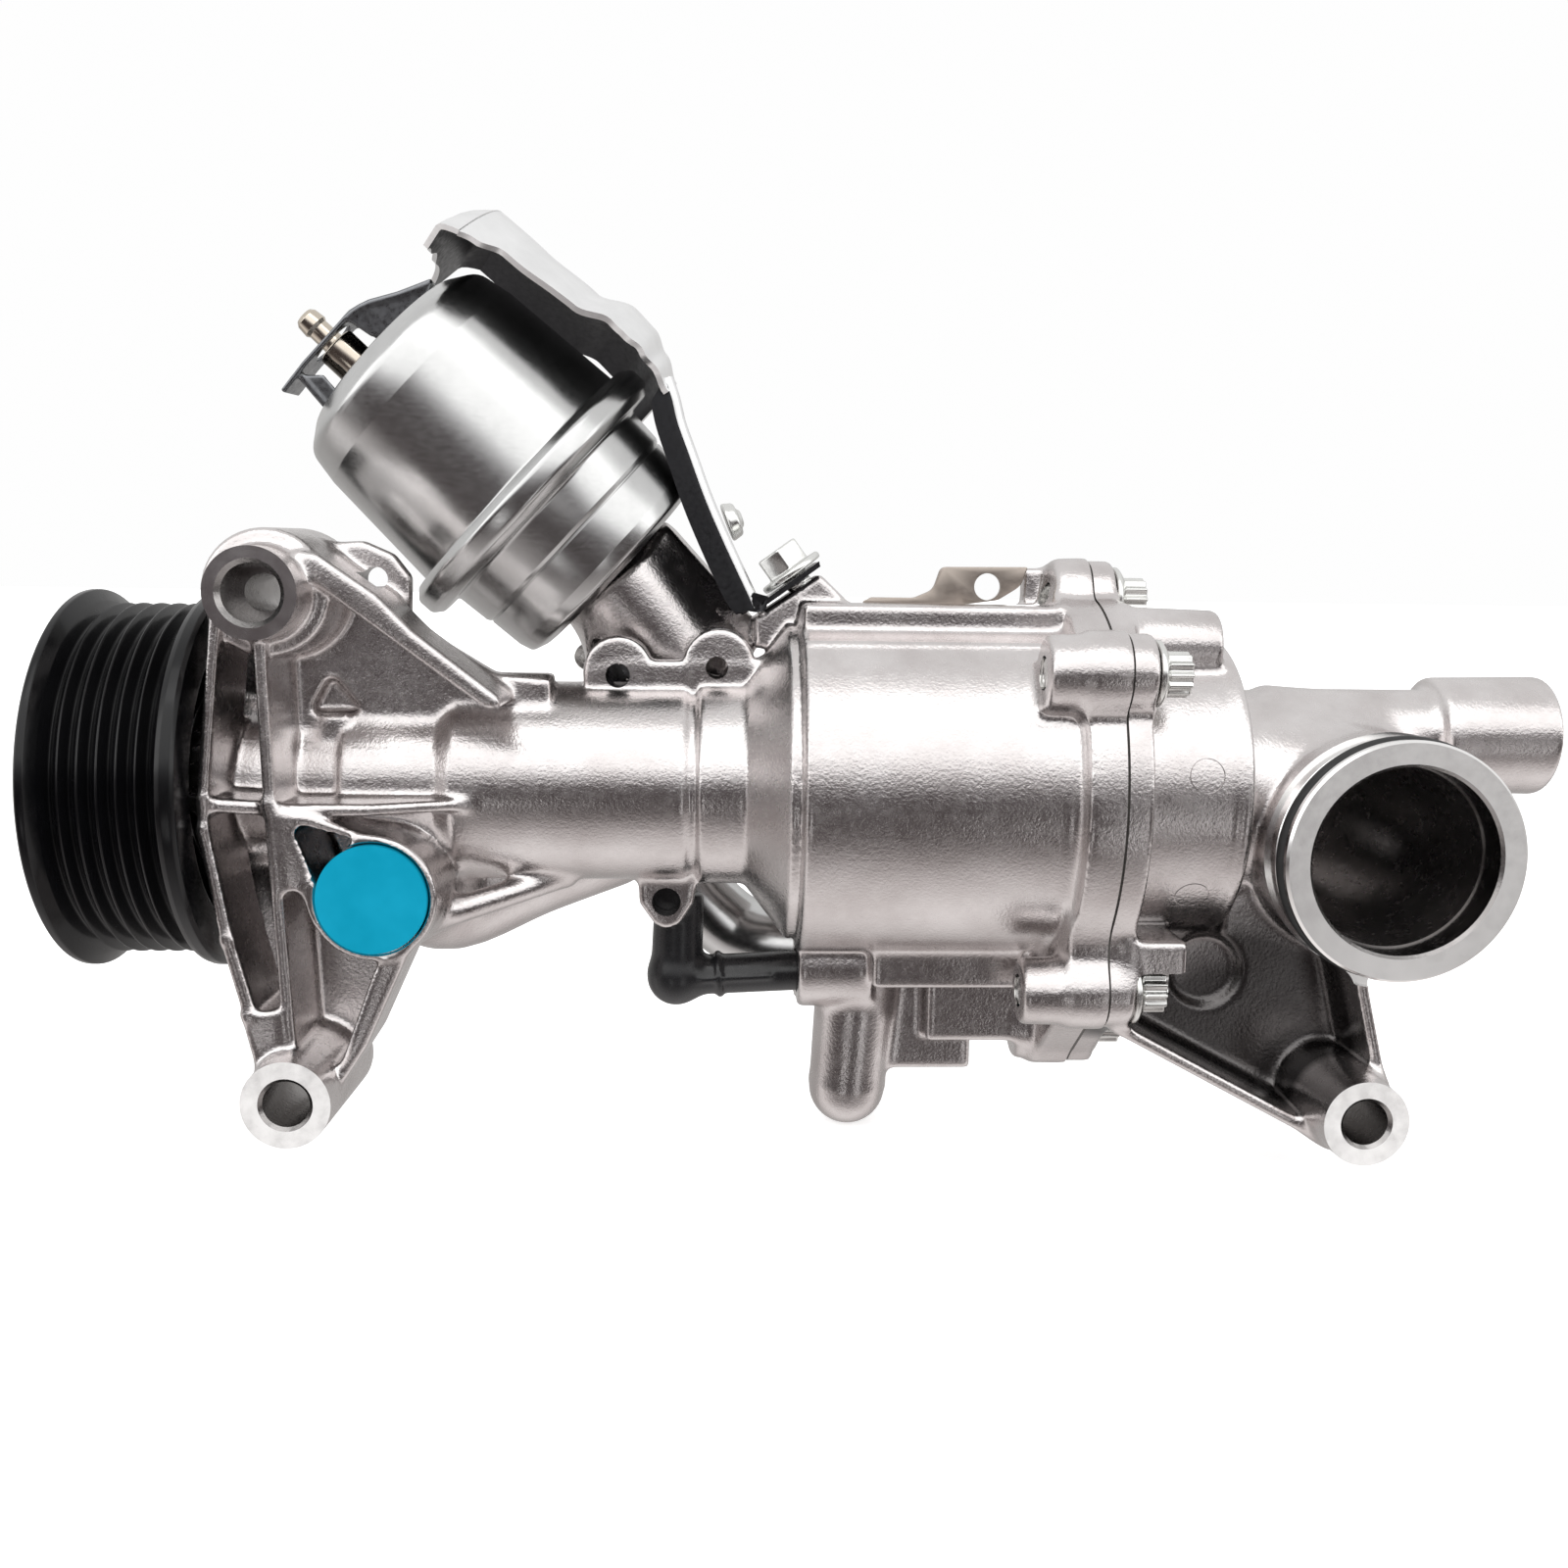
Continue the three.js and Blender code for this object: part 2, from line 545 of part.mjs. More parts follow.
function portGuard() {
  const plate = [[-50.9, -19], [-50.9, 3], [-47.5, 9], [-43.4, 18]];
  const leg = [[-50.6, -14.5], [-42.6, -15.4]];
  return cut(
    join(alongY(strip(plate, 1.2), -7, 7), alongY(strip(leg, 1.2), -6, 6)),
    rod([-60, 0, -5.4], [-43, 0, -5.4], 4.7),
  );
}

function returnSpring() {
  const turns = 4.5;
  const steps = 45;
  const points = Array.from({ length: steps + 1 }, (_, i) => {
    const turn = (2 * Math.PI * turns * i) / steps;
    return [-39 + (30 * i) / steps, 12 * Math.cos(turn), 12 * Math.sin(turn)];
  });
  return tube(points, 1, 48, 4);
}

function diaphragm() {
  return turned([
    [-0.1, 28.3], [0.9, 28.3], [0.9, 25], [4.6, 23.2], [4.6, 20.6], [0.9, 18.6], [0.9, 4], [0, 4], [0, 19],
    [3.6, 21.1], [3.6, 22.7], [-0.1, 24.4],
  ], BORE);
}

function pushRod() {
  const [from, wide, to] = [ROD_PIN - 6, ROD_PIN - 3, ROD_PIN + 5];
  const eye = alongY([[from, -3.4], [from, 3.4], [wide, 4.4], [to, 4.4], [to, -4.4], [wide, -4.4]], -2, 2);
  const slot = block(ROD_PIN - 2, ROD_PIN + 2, -3, 3, -3, 2.6);
  return cut(join(rod([1.3, 0, 0], [from + 2, 0, 0], 3), rod([1.3, 0, 0], [2.6, 0, 0], 7), eye), slot);
}

// The lever, its pin, the spindle and the valve drum, in the can's frame.
function valveSpindle() {
  const pivot = [40, -LEVER.arm];
  const angle = THREE.MathUtils.degToRad(LEVER.tilt);
  const pin = [pivot[0] + LEVER.arm * Math.sin(angle), pivot[1] + LEVER.arm * Math.cos(angle)];
  const at = ([x, z], y0, y1, radius, sides = SMALL) => rod([x, y0, z], [x, y1, z], radius, radius, sides);
  const passage = block(pivot[0] - 10, pivot[0] + 10, 8.4, 13, pivot[1] - 2.4, pivot[1] + 8);
  const drum = cut(at(pivot, 6.4, 15, 7.2, 20), passage);
  return join(
    alongY(strip([pivot, pin], 5), 2.6, 5.2),
    at(pin, -2.4, 5.2, 1.5),
    at(pin, 2.6, 5.2, 2.9),
    at(pivot, 2.6, 5.2, 4.4),
    at(pivot, -6.9, 7, 2.9),
    drum,
  );
}

const VALVE_SCREWS = [[29.6, 8], [53.6, 5], [33.4, -19]];

function valveCover() {
  const plate = alongY([[28, 12], [54, 9.6], [57, 1], [50.5, -22], [35, -22], [28, -14]], 16 + GAP, 18.8);
  return cut(plate, ...VALVE_SCREWS.map(([x, z]) => rod([x, 15, z], [x, 20, z], 1.9, 1.9, 10)));
}

// A moulded elbow: its closed upper end hangs behind the lug, and its arm plugs into the housing.
function bypassElbow() {
  const [top, corner, end] = [BYPASS.top, BYPASS.corner, BYPASS.end].map(([x, z]) => [x, BYPASS.y, z]);
  const body = join(
    rod(top, corner, 5.3, 5.6),
    ball(corner, 6.3),
    rod(corner, end, 4.3),
    rod([118, -1.1, -26.2], [118, BYPASS.y, -26.2], 4.6),
  );
  const [x, y, z] = top;
  const down = rod([x, y, z - 4], corner, 3.1, 3.1, 10);
  const across = rod(corner, [end[0] + 1, y, end[2]], 2.9, 2.9, 10);
  return cut(body, down, across);
}

function transferPipe(radius) {
  return tube(TRANSFER, radius, 10);
}

function addHousingAndCover() {
  add("pump_housing", pumpHousing(), CAST);
  add("pump_cover", pumpCover(), CAST);
  const opening = turned([[200, 0], [200, 32], [210, 32], [210, 0]], BORE);
  add(
    "cover_gasket",
    cut(jointFlange(JOINT_X + GAP, JOINT_X + GAP + GASKET, -0.8), opening, ...boltHoles(200, 210, 3.5)),
    GASKET_STEEL,
  );
  for (const { name, y, z, start } of COVER_BOLTS) {
    const seat = COVER_X + COVER_FLANGE + GAP;
    add("cover_bolt_" + name, flangeBolt(seat - start - 1.5).translate([seat, y, z]), ZINC);
  }
  const groove = new THREE.TorusGeometry(22.3, 1.75, 8, BORE + 8).rotateX(Math.PI / 2);
  add("inlet_o_ring", groove.translate(INLET.x, -33, INLET.z), RUBBER);
  add("port_cap", portCap(), BLUE_PLASTIC);
}

function portCap() {
  const disc = (y0, y1, radius) => rod([PORT.x, y0, PORT.z], [PORT.x, y1, PORT.z], radius, radius, BORE);
  return cut(disc(PORT.face - 1, -20, PORT.bore - GAP), disc(PORT.face + 1, -19, PORT.bore - 2.4));
}

function addRotor() {
  const { radius, nose, shoulder, end } = SHAFT;
  const stepped = [
    [0, 0], [0, radius - 0.6], [0.6, radius], [shoulder, radius], [shoulder, nose], [end, nose], [end, 0],
  ];
  add("pump_shaft", turned(stepped, BORE), BRIGHT_STEEL);
  add("hub_flange", hubFlange(), DARK_STEEL);
  add("drive_pulley", drivePulley(), BLACK_PAINT);
  for (let i = 0; i < 3; i++) {
    const bolt = join(
      rod([0.2, 0, 0], [3.6, 0, 0], 4.6, 4.6, 6),
      rod([3.5, 0, 0], [13.5, 0, 0], 3),
    );
    add("pulley_bolt_" + (i + 1), bolt.translate([0, ...atPulleyBolt(i)]), ZINC);
  }
  addBearing("front_bearing", FRONT_BEARING_X);
  addBearing("rear_bearing", REAR_BEARING_X);
  const sealCase = [[180, 9], [180, 13], [192 + GAP, 13], [192 + GAP, 15.5], [194, 15.5], [194, 9]];
  add("seal_case", turned(sealCase, BORE), BRASS);
  add("seal_carbon_ring", ring(194 + GAP, 196.6, 9, 12.6, BORE), CARBON);
  add("seal_mating_ring", ring(196.6 + GAP, 199.8, SHAFT.radius + GAP, 13, BORE), BRIGHT_STEEL);
  add("impeller", impeller(), BLACK_PLASTIC);
}

function addActuator() {
  const { upper, lower } = canShells();
  add("vacuum_can_upper", upper, BRIGHT_STEEL, actuator);
  add("vacuum_can_lower", lower, BRIGHT_STEEL, actuator);
  add("vacuum_nipple", vacuumNipple(), BRASS, actuator);
  add("port_guard", portGuard(), DARK_STEEL, actuator);
  add("diaphragm", diaphragm(), RUBBER, actuator);
  const piston = [[-8, 16.4], [-8, 17.6], [-GAP, 17.6], [-GAP, 0], [-1.6, 0], [-1.6, 16.4]];
  add("diaphragm_plate", turned(piston, BORE), DARK_STEEL, actuator);
  add("return_spring", returnSpring(), BRIGHT_STEEL, actuator);
  add("push_rod", pushRod(), BRIGHT_STEEL, actuator);
  add("valve_spindle", valveSpindle(), DARK_STEEL, actuator);
  add("valve_cover", valveCover(), CAST, actuator);
  VALVE_SCREWS.forEach(([x, z], i) => {
    const head = rod([x, 19.1, z], [x, 21.4, z], 3.2, 2.6, 12);
    const shank = rod([x, 16.3, z], [x, 19.2, z], 1.6, 1.6, 10);
    add("valve_cover_screw_" + (i + 1), join(head, shank), ZINC, actuator);
  });
}

function addShield() {
  add("heat_shield", heatShield(), DARK_STEEL);
  const bolt = join(
    rod(tabPoint(TAB.bolt, 2), tabPoint(TAB.bolt, 3.4), 7, 7, BORE),
    rod(tabPoint(TAB.bolt, 3.3), tabPoint(TAB.bolt, 8.6), 4.7, 4.5, 6),
    rod(tabPoint(TAB.bolt, -8), tabPoint(TAB.bolt, 2.2), 2.9),
  );
  add("shield_bolt", bolt, ZINC);
  add("shield_rivet", inCanFrame(rod([33.8, 0, 24.6], [34.8, 0, 26.8], 4.2, 3.4)), ZINC);
}

function addSmallParts() {
  const outline = [[157, 38], [170, 38.4], [174.5, 45.4], [192.5, 45.8], [192.5, 38]];
  add("cable_tab", cut(alongY(outline, 2, 3.4), rod([184.9, 0, 41.4], [184.9, 6, 41.4], 2.7)), ZINC);
  add("bypass_elbow", bypassElbow(), BLACK_PLASTIC);
  const pipe = cut(transferPipe(TRANSFER_RADIUS), transferPipe(TRANSFER_RADIUS - 1.2));
  add("transfer_pipe", pipe, BRIGHT_STEEL);
}

addHousingAndCover();
addRotor();
addActuator();
addShield();
addSmallParts();

export default pump;
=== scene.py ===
# The looks of a belt-driven engine coolant pump with a vacuum-operated shut-off valve.
# Shapes are written in millimetres in the frame of the part, and turned into metres when a mesh is made.
# +X runs along the shaft away from the pulley, -Y faces the engine, +Z is up.

import math
from collections import namedtuple

import bmesh
import bpy
import numpy as np
from mathutils import Matrix, Vector


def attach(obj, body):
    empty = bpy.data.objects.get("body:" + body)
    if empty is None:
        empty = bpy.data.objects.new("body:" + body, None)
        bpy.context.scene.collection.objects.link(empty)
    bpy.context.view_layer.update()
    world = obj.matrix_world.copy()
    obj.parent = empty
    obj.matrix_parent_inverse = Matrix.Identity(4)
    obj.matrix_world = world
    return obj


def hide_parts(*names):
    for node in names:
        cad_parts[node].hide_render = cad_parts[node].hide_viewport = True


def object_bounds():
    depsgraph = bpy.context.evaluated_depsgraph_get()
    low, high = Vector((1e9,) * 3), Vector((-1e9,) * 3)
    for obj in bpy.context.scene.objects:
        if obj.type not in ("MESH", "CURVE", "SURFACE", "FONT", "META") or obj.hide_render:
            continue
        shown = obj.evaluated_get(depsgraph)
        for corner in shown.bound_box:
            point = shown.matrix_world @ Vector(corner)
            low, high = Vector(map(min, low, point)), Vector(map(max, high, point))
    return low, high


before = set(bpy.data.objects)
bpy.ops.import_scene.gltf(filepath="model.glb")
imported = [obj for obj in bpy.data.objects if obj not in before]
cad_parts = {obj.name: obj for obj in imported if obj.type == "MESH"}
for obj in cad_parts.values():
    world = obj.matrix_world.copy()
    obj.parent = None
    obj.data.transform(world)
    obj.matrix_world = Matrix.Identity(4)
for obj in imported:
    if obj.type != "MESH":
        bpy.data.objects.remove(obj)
cad_low, cad_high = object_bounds()

# ---- driving dimensions, in millimetres ----

MM = 0.001
CAST_STEP = 0.6  # grid step of the castings
SMALL_STEP = 0.22  # grid step of bolts and other small pieces
ELBOW_STEP = 0.4
HOUSING_FACES = 150000
COVER_FACES = 100000
BOLT_FACES = 6000
CORNER_STEPS = 4  # segments of a rounded corner
FAR = 50.0  # a distance field's value away from every shape
AXIS = -9  # the radius that stands for the axis of a turned field, so that the axis isn't a face
# The third slot holds painted shade for the walls of holes and water ways.
CAST_SLOT, MACHINED_SLOT, BORE_SHADE_SLOT = 0, 1, 2  # the material slots of a casting

ENGINE_Y = -37  # the machined faces on the engine
BOSS_FRONT = ENGINE_Y - 2  # where the raw bosses start, before they are faced off
BOSS_RADIUS = 8.5
RIB_Y = -30
WEB_Y = (-12.8, -7)
WEB_ROOT = WEB_Y[0] + 1  # how deep the ribs reach into the web
CHANNEL_Y = (-5, -1)
LOBE_Y = (-6.5, -1)
PORT = (62.9, -19)  # x and z of the discharge port
PORT_FACE = -30.5
UPPER_LEFT = (44, 38.7)
LOWER_LEFT = (47.2, -57.5)
LOWER_RIGHT = (256.1, -61.8)
INLET = (260.5, -9.7)
HEATER = (4, 10.8)  # y and z of the heater stub
LENGTH = 306
HOUSING_FACE = 204.95
COVER_FACE = 205.45
COVER_SEAT = 210.7
CHAMBER_RADIUS = 35.6
NECK_RADIUS = 20.7
FLANGE_RADIUS = 40
SHAFT_BORE = 9.5
BEARING_BORE = 15.3
CLEARANCE_HOLE = 3.3  # radius of a hole for an M6 bolt
ENGINE_HOLE = 4.5

COVER_BOLTS = {  # y, z, boss radius and where the housing's boss starts
    "upper_front": (-32, 25.5, 7.7, 190),
    "lower_front": (-26, -38, 7, 188.5),
    "top": (1, 39.2, 7.8, 199),
    "upper_rear": (31, 26, 7.5, 190),
    "lower_rear": (36, -24, 7.5, 190),
    "bottom": (6, -54.5, 8, 194),
}
BOLT_SHORT = 0.2  # how far a bolt's end stays inside its boss
LOBE_HOLES = [(108, 22.5, 2.5), (128.2, 24.3, 2.3)]  # x, z and radius
ARM_TAB_HOLE = (60.9, 41.4, 2.4)
LUG_HOLE = (118, -24.6, 3)
BYPASS_END = (4.4, -42.2)  # y and z where the black elbow enters the chamber
LEFT_RIBS = [  # start, end, thickness and front of each straight rib of the left arm
    ((35.2, 34), (31.5, 0), 2.2, RIB_Y),
    ((31.5, 0), (31.3, -6), 2.2, RIB_Y),
    ((31.3, -6), (35, -27.3), 2.4, RIB_Y),
    ((35, -27.3), (38.8, -42), 2.6, RIB_Y),
    ((43, 34), (43.9, -1), 2.4, RIB_Y),
    ((43.9, -1), (46.3, -49), 2.4, RIB_Y),
    ((28, -1.2), (43.5, -2), 2.8, RIB_Y + 1),
]
TRANSFER = [(100.5, 23.9, -15.4), (110, 26, -16.5), (118, 27, -22), (125, 27, -31.5), (134, 25, -38.5),
            (143, 20.5, -40.5), (151, 18, -40.5)]  # the bright pipe's middle line
TRANSFER_RADIUS = 8.3
ELBOW = [(224, 3, -1), (240, 3, -2.5), (252, 0, -5.5), (259, -8, -8.6), (260.5, -16, -9.6),
         (260.5, -29, -9.7)]  # the suction elbow's middle line

QUARTER = math.radians(90)
CAN_CENTRE = (88.6, 10, 59.4)
CAN_PITCH = 43
CAN_YAW = 5.7
CAN_TURN = Matrix.Rotation(math.radians(CAN_PITCH), 4, "Y") @ Matrix.Rotation(math.radians(CAN_YAW), 4, "Z")
CAN = Matrix.Translation(CAN_CENTRE) @ CAN_TURN
SHELLS = CAN @ Matrix.Translation((0, 0, 0.6))
PORT_END = CAN @ Matrix.Translation((1.8, 0, 0.3))
NIPPLE_Z = -5.4
LEVER_PIVOT = (40, -11)  # x and z of the valve spindle in the can's frame
VALVE_SCREWS = [(29.6, 8), (53.6, 5), (33.4, -19)]

TAB_LOW = Vector((136.5, 4, 35.2))
TAB_HIGH = Vector((149, 4, 44.3))
SHIELD_BOLT_AT = 0.7  # the bolt's place along the tab
SHIELD_NEAR = [(-45, 46), (-38, 40), (-33, 35), (-10, 34), (-6.7, 33), (-2, 30), (1, 27), (7, 24)]
SHIELD_FLARE = [(-34, 0), (-22, 0.6), (-12, 1), (-8, 0.4), (-2, 0)]
SHIELD_RADIUS = [(-45, 37), (-30, 37.8), (-17, 39), (-9.5, 42.4), (-4, 42.2), (1, 40.2), (6.6, 37.4)]
SHIELD_FAR = -42  # the angle of the shield's far edge, in degrees
SHIELD_END = -41  # the station of its end flap

# ---- distance fields: shapes as functions, joined with fillets and meshed on a grid ----

Solid = namedtuple("Solid", "distance low high")


def both(a, b, edge):
    """The overlap of two distances, with its edge rounded to a radius."""
    a = a + edge
    b = b + edge
    outside = np.hypot(np.maximum(a, 0), np.maximum(b, 0))
    return np.minimum(np.maximum(a, b), 0) + outside - edge


def outline_distance(points, u, v):
    """The signed distance to a closed outline of [u, v] points."""
    nearest = None
    inside = None
    for (ax, ay), (bx, by) in zip(points, points[1:] + points[:1]):
        dx, dy = bx - ax, by - ay
        along = ((u - ax) * dx + (v - ay) * dy) / (dx * dx + dy * dy)
        along = np.clip(along, 0, 1)
        square = (u - ax - along * dx) ** 2 + (v - ay - along * dy) ** 2
        nearest = square if nearest is None else np.minimum(nearest, square)
        if dy != 0:
            crosses = ((ay > v) != (by > v)) & (u < dx * (v - ay) / dy + ax)
            inside = crosses if inside is None else inside ^ crosses
    distance = np.sqrt(nearest)
    return np.where(inside, -distance, distance)


def slab(w, start, end):
    """The signed distance to the space between two parallel planes."""
    return np.abs(w - (start + end) / 2) - abs(end - start) / 2


def plate_y(outline, y0, y1, edge=0.5, draft=0.0):
    """An outline of [x, z] points between two depths, wider by the draft towards y1."""
    def distance(x, y, z):
        flat = outline_distance(outline, x, z)
        return both(flat - draft * (y - y0), slab(y, y0, y1), edge)
    xs, zs = zip(*outline)
    grow = abs(draft * (y1 - y0))
    return Solid(distance, (min(xs) - grow, y0, min(zs) - grow), (max(xs) + grow, y1, max(zs) + grow))


def plate_x(outline, x0, x1, edge=0.5):
    """An outline of [y, z] points between two stations."""
    def distance(x, y, z):
        return both(outline_distance(outline, y, z), slab(x, x0, x1), edge)
    ys, zs = zip(*outline)
    return Solid(distance, (x0, min(ys), min(zs)), (x1, max(ys), max(zs)))


def block(x0, x1, y0, y1, z0, z1, edge=0.8):
    """A box between two corners."""
    return plate_y([(x0, z0), (x1, z0), (x1, z1), (x0, z1)], y0, y1, edge)


def wall(start, end, thick, y0, y1, draft=0.035, edge=0.8):
    """A straight rib in the XZ plane with round ends, thicker by the draft towards y1."""
    (ax, az), (bx, bz) = start, end
    dx, dz = bx - ax, bz - az

    def distance(x, y, z):
        along = np.clip(((x - ax) * dx + (z - az) * dz) / (dx * dx + dz * dz), 0, 1)
        side = np.hypot(x - ax - along * dx, z - az - along * dz) - thick / 2
        return both(side - draft * (y - y0), slab(y, y0, y1), edge)
    reach = thick / 2 + abs(draft * (y1 - y0))
    low = (min(ax, bx) - reach, y0, min(az, bz) - reach)
    high = (max(ax, bx) + reach, y1, max(az, bz) + reach)
    return Solid(distance, low, high)


def rod(start, end, r0, r1=None, edge=0.5):
    """A cylinder or cone with flat ends between two points."""
    r1 = r0 if r1 is None else r1
    start = np.array(start, dtype=float)
    end = np.array(end, dtype=float)
    length = np.linalg.norm(end - start)
    ux, uy, uz = (end - start) / length

    def distance(x, y, z):
        px, py, pz = x - start[0], y - start[1], z - start[2]
        along = px * ux + py * uy + pz * uz
        away = np.sqrt(np.maximum(px * px + py * py + pz * pz - along * along, 0))
        side = away - (r0 + (r1 - r0) * np.clip(along / length, 0, 1))
        return both(side, np.abs(along - length / 2) - length / 2, edge)
    reach = max(r0, r1)
    return Solid(distance, np.minimum(start, end) - reach, np.maximum(start, end) + reach)


def ball(centre, radius):
    """A ball round a centre."""
    def distance(x, y, z):
        return np.sqrt((x - centre[0]) ** 2 + (y - centre[1]) ** 2 + (z - centre[2]) ** 2) - radius
    return Solid(distance, [c - radius for c in centre], [c + radius for c in centre])


def spline(points, per_span=6):
    """A smooth path through points."""
    points = [Vector(p) for p in points]
    padded = [2 * points[0] - points[1]] + points + [2 * points[-1] - points[-2]]
    path = []
    for a, b, c, d in zip(padded, padded[1:], padded[2:], padded[3:]):
        for i in range(per_span):
            t = i / per_span
            path.append(0.5 * (2 * b + (c - a) * t + (2 * a - 5 * b + 4 * c - d) * t * t
                               + (3 * b - a - 3 * c + d) * t ** 3))
    return path + [points[-1]]


def hose(points, r0, r1=None, per_span=5):
    """A round tube with round ends along a smooth path."""
    r1 = r0 if r1 is None else r1
    path = [np.array(p) for p in spline(points, per_span)]
    count = len(path) - 1

    def distance(x, y, z):
        nearest = None
        for i, (a, b) in enumerate(zip(path, path[1:])):
            d = b - a
            along = ((x - a[0]) * d[0] + (y - a[1]) * d[1] + (z - a[2]) * d[2]) / d.dot(d)
            along = np.clip(along, 0, 1)
            away = np.sqrt((x - a[0] - along * d[0]) ** 2 + (y - a[1] - along * d[1]) ** 2
                           + (z - a[2] - along * d[2]) ** 2)
            away = away - (r0 + (r1 - r0) * (i + along) / count)
            nearest = away if nearest is None else np.minimum(nearest, away)
        return nearest
    reach = max(r0, r1)
    return Solid(distance, np.min(path, axis=0) - reach, np.max(path, axis=0) + reach)


def turned(profile):
    """A turned shape from [x, radius] points. Points on the shaft axis have the radius AXIS."""
    reach = max(r for _, r in profile)
    radii = np.arange(0, reach + 8, 0.2)

    def distance(x, y, z):
        away = np.hypot(y, z) / 0.2
        table = outline_distance(profile, x.ravel()[:, None], radii[None, :]).astype(np.float32)
        row = np.arange(x.size).reshape(x.shape)
        column = np.minimum(away.astype(int), len(radii) - 2)
        part = np.clip(away - column, 0, 30).astype(np.float32)
        return table[row, column] * (1 - part) + table[row, column + 1] * part
    stations = [s for s, _ in profile]
    return Solid(distance, (min(stations), -reach, -reach), (max(stations), reach, reach))


def placed(solid, matrix):
    """A shape moved by a matrix."""
    back = matrix.inverted()

    def distance(x, y, z):
        local = [back[i][0] * x + back[i][1] * y + back[i][2] * z + back[i][3] for i in range(3)]
        return solid.distance(*local)
    ends = list(zip(solid.low, solid.high))
    corners = [matrix @ Vector((x, y, z)) for x in ends[0] for y in ends[1] for z in ends[2]]
    return Solid(distance, np.min(corners, axis=0), np.max(corners, axis=0))


class Field:
    """A distance on a grid, negative inside the shape."""

    def __init__(self, low, high, step):
        self.step = step
        self.low = np.array(low, dtype=float)
        counts = [int((b - a) / step) + 2 for a, b in zip(low, high)]
        self.axes = [a + step * np.arange(n) for a, n in zip(low, counts)]
        self.values = np.full(counts, FAR, dtype=np.float32)

    def window(self, solid, margin):
        """The part of the grid near a solid, as slices and as coordinates."""
        part = []
        for i, stations in enumerate(self.axes):
            start = max(int((solid.low[i] - margin - self.low[i]) / self.step), 0)
            stop = min(int((solid.high[i] + margin - self.low[i]) / self.step) + 2, len(stations))
            part.append(slice(start, stop))
        x, y, z = (stations[s] for stations, s in zip(self.axes, part))
        return tuple(part), (x[:, None, None], y[None, :, None], z[None, None, :])

    def add(self, solid, fillet=0.0):
        """Joins a solid to the shape, with a fillet in the corner between them."""
        part, grid = self.window(solid, fillet + 3)
        here = self.values[part]
        there = solid.distance(*grid).astype(np.float32)
        joined = np.minimum(here, there)
        if fillet:
            joined -= np.maximum(fillet - np.abs(here - there), 0) ** 2 / (4 * fillet)
        self.values[part] = joined

    def cut(self, solid, fillet=0.0):
        """Takes a solid away from the shape, with a fillet along the new edge."""
        part, grid = self.window(solid, fillet + 3)
        here = self.values[part]
        there = -solid.distance(*grid).astype(np.float32)
        left = np.maximum(here, there)
        if fillet:
            left += np.maximum(fillet - np.abs(here - there), 0) ** 2 / (4 * fillet)
        self.values[part] = left

    def soften(self):
        """Rounds every edge by about a grid step."""
        band = 3 * self.step
        self.values = np.clip(self.values, -band, band)
        for axis in range(3):
            v = np.moveaxis(self.values, axis, 0)
            v[1:-1] = 0.25 * v[:-2] + 0.5 * v[1:-1] + 0.25 * v[2:]

    def part_corners(self):
        """Clears corners that touch only across a diagonal, so that every edge has two faces."""
        v = self.values
        for _ in range(8):
            found = 0
            for a, b in ((0, 1), (0, 2), (1, 2)):
                w = np.moveaxis(v, (a, b), (0, 1))
                s = w < 0
                crossed = (s[:-1, :-1] == s[1:, 1:]) & (s[1:, :-1] == s[:-1, 1:])
                crossed &= s[:-1, :-1] != s[1:, :-1]
                i, j, k = np.nonzero(crossed)
                found += len(i)
                first = s[i, j, k]
                w[i + first, j, k] = -0.02 * self.step
            if not found:
                break

    def surface(self):
        """The points and four-sided faces of the zero surface."""
        v = self.values
        for axis in range(3):
            w = np.moveaxis(v, axis, 0)
            w[0] = np.abs(w[0]) + self.step
            w[-1] = np.abs(w[-1]) + self.step
        self.part_corners()
        shape = v.shape
        stride = np.array([shape[1] * shape[2], shape[2], 1])
        inside = v < 0
        spots, cells, quads, flips = [], [], [], []
        for axis in range(3):
            other = [(axis + 1) % 3, (axis + 2) % 3]
            first = [slice(None)] * 3
            second = [slice(None)] * 3
            first[axis] = slice(0, -1)
            second[axis] = slice(1, None)
            edge = np.nonzero(inside[tuple(first)] != inside[tuple(second)])
            index = np.array(edge).T
            here = v[edge]
            beyond = index.copy()
            beyond[:, axis] += 1
            there = v[tuple(beyond.T)]
            spot = index.astype(float)
            spot[:, axis] += here / (here - there)
            base = index @ stride
            around = [base - b * stride[other[0]] - c * stride[other[1]]
                      for b, c in ((0, 0), (1, 0), (1, 1), (0, 1))]
            for cell in around:
                spots.append(spot)
                cells.append(cell)
            quads.append(np.array(around).T)
            flips.append(here < 0)
        cells = np.concatenate(cells)
        spots = np.concatenate(spots)
        number = np.full(v.size, -1, dtype=np.int32)
        number[cells] = 1
        active = np.flatnonzero(number == 1)
        number[active] = np.arange(len(active))
        slot = number[cells]
        count = np.bincount(slot)
        points = np.stack([np.bincount(slot, weights=spots[:, i]) / count for i in range(3)], axis=1)
        faces = number[np.concatenate(quads)]
        flip = np.concatenate(flips)
        faces[~flip] = faces[~flip][:, ::-1]
        return self.settle(points) * self.step + self.low, faces

    def sample(self, points):
        base = np.floor(points).astype(int)
        part = points - base
        total = 0
        for i in (0, 1):
            for j in (0, 1):
                for k in (0, 1):
                    weight = (np.abs(1 - i - part[:, 0]) * np.abs(1 - j - part[:, 1])
                              * np.abs(1 - k - part[:, 2]))
                    total = total + weight * self.values[base[:, 0] + i, base[:, 1] + j, base[:, 2] + k]
        return total

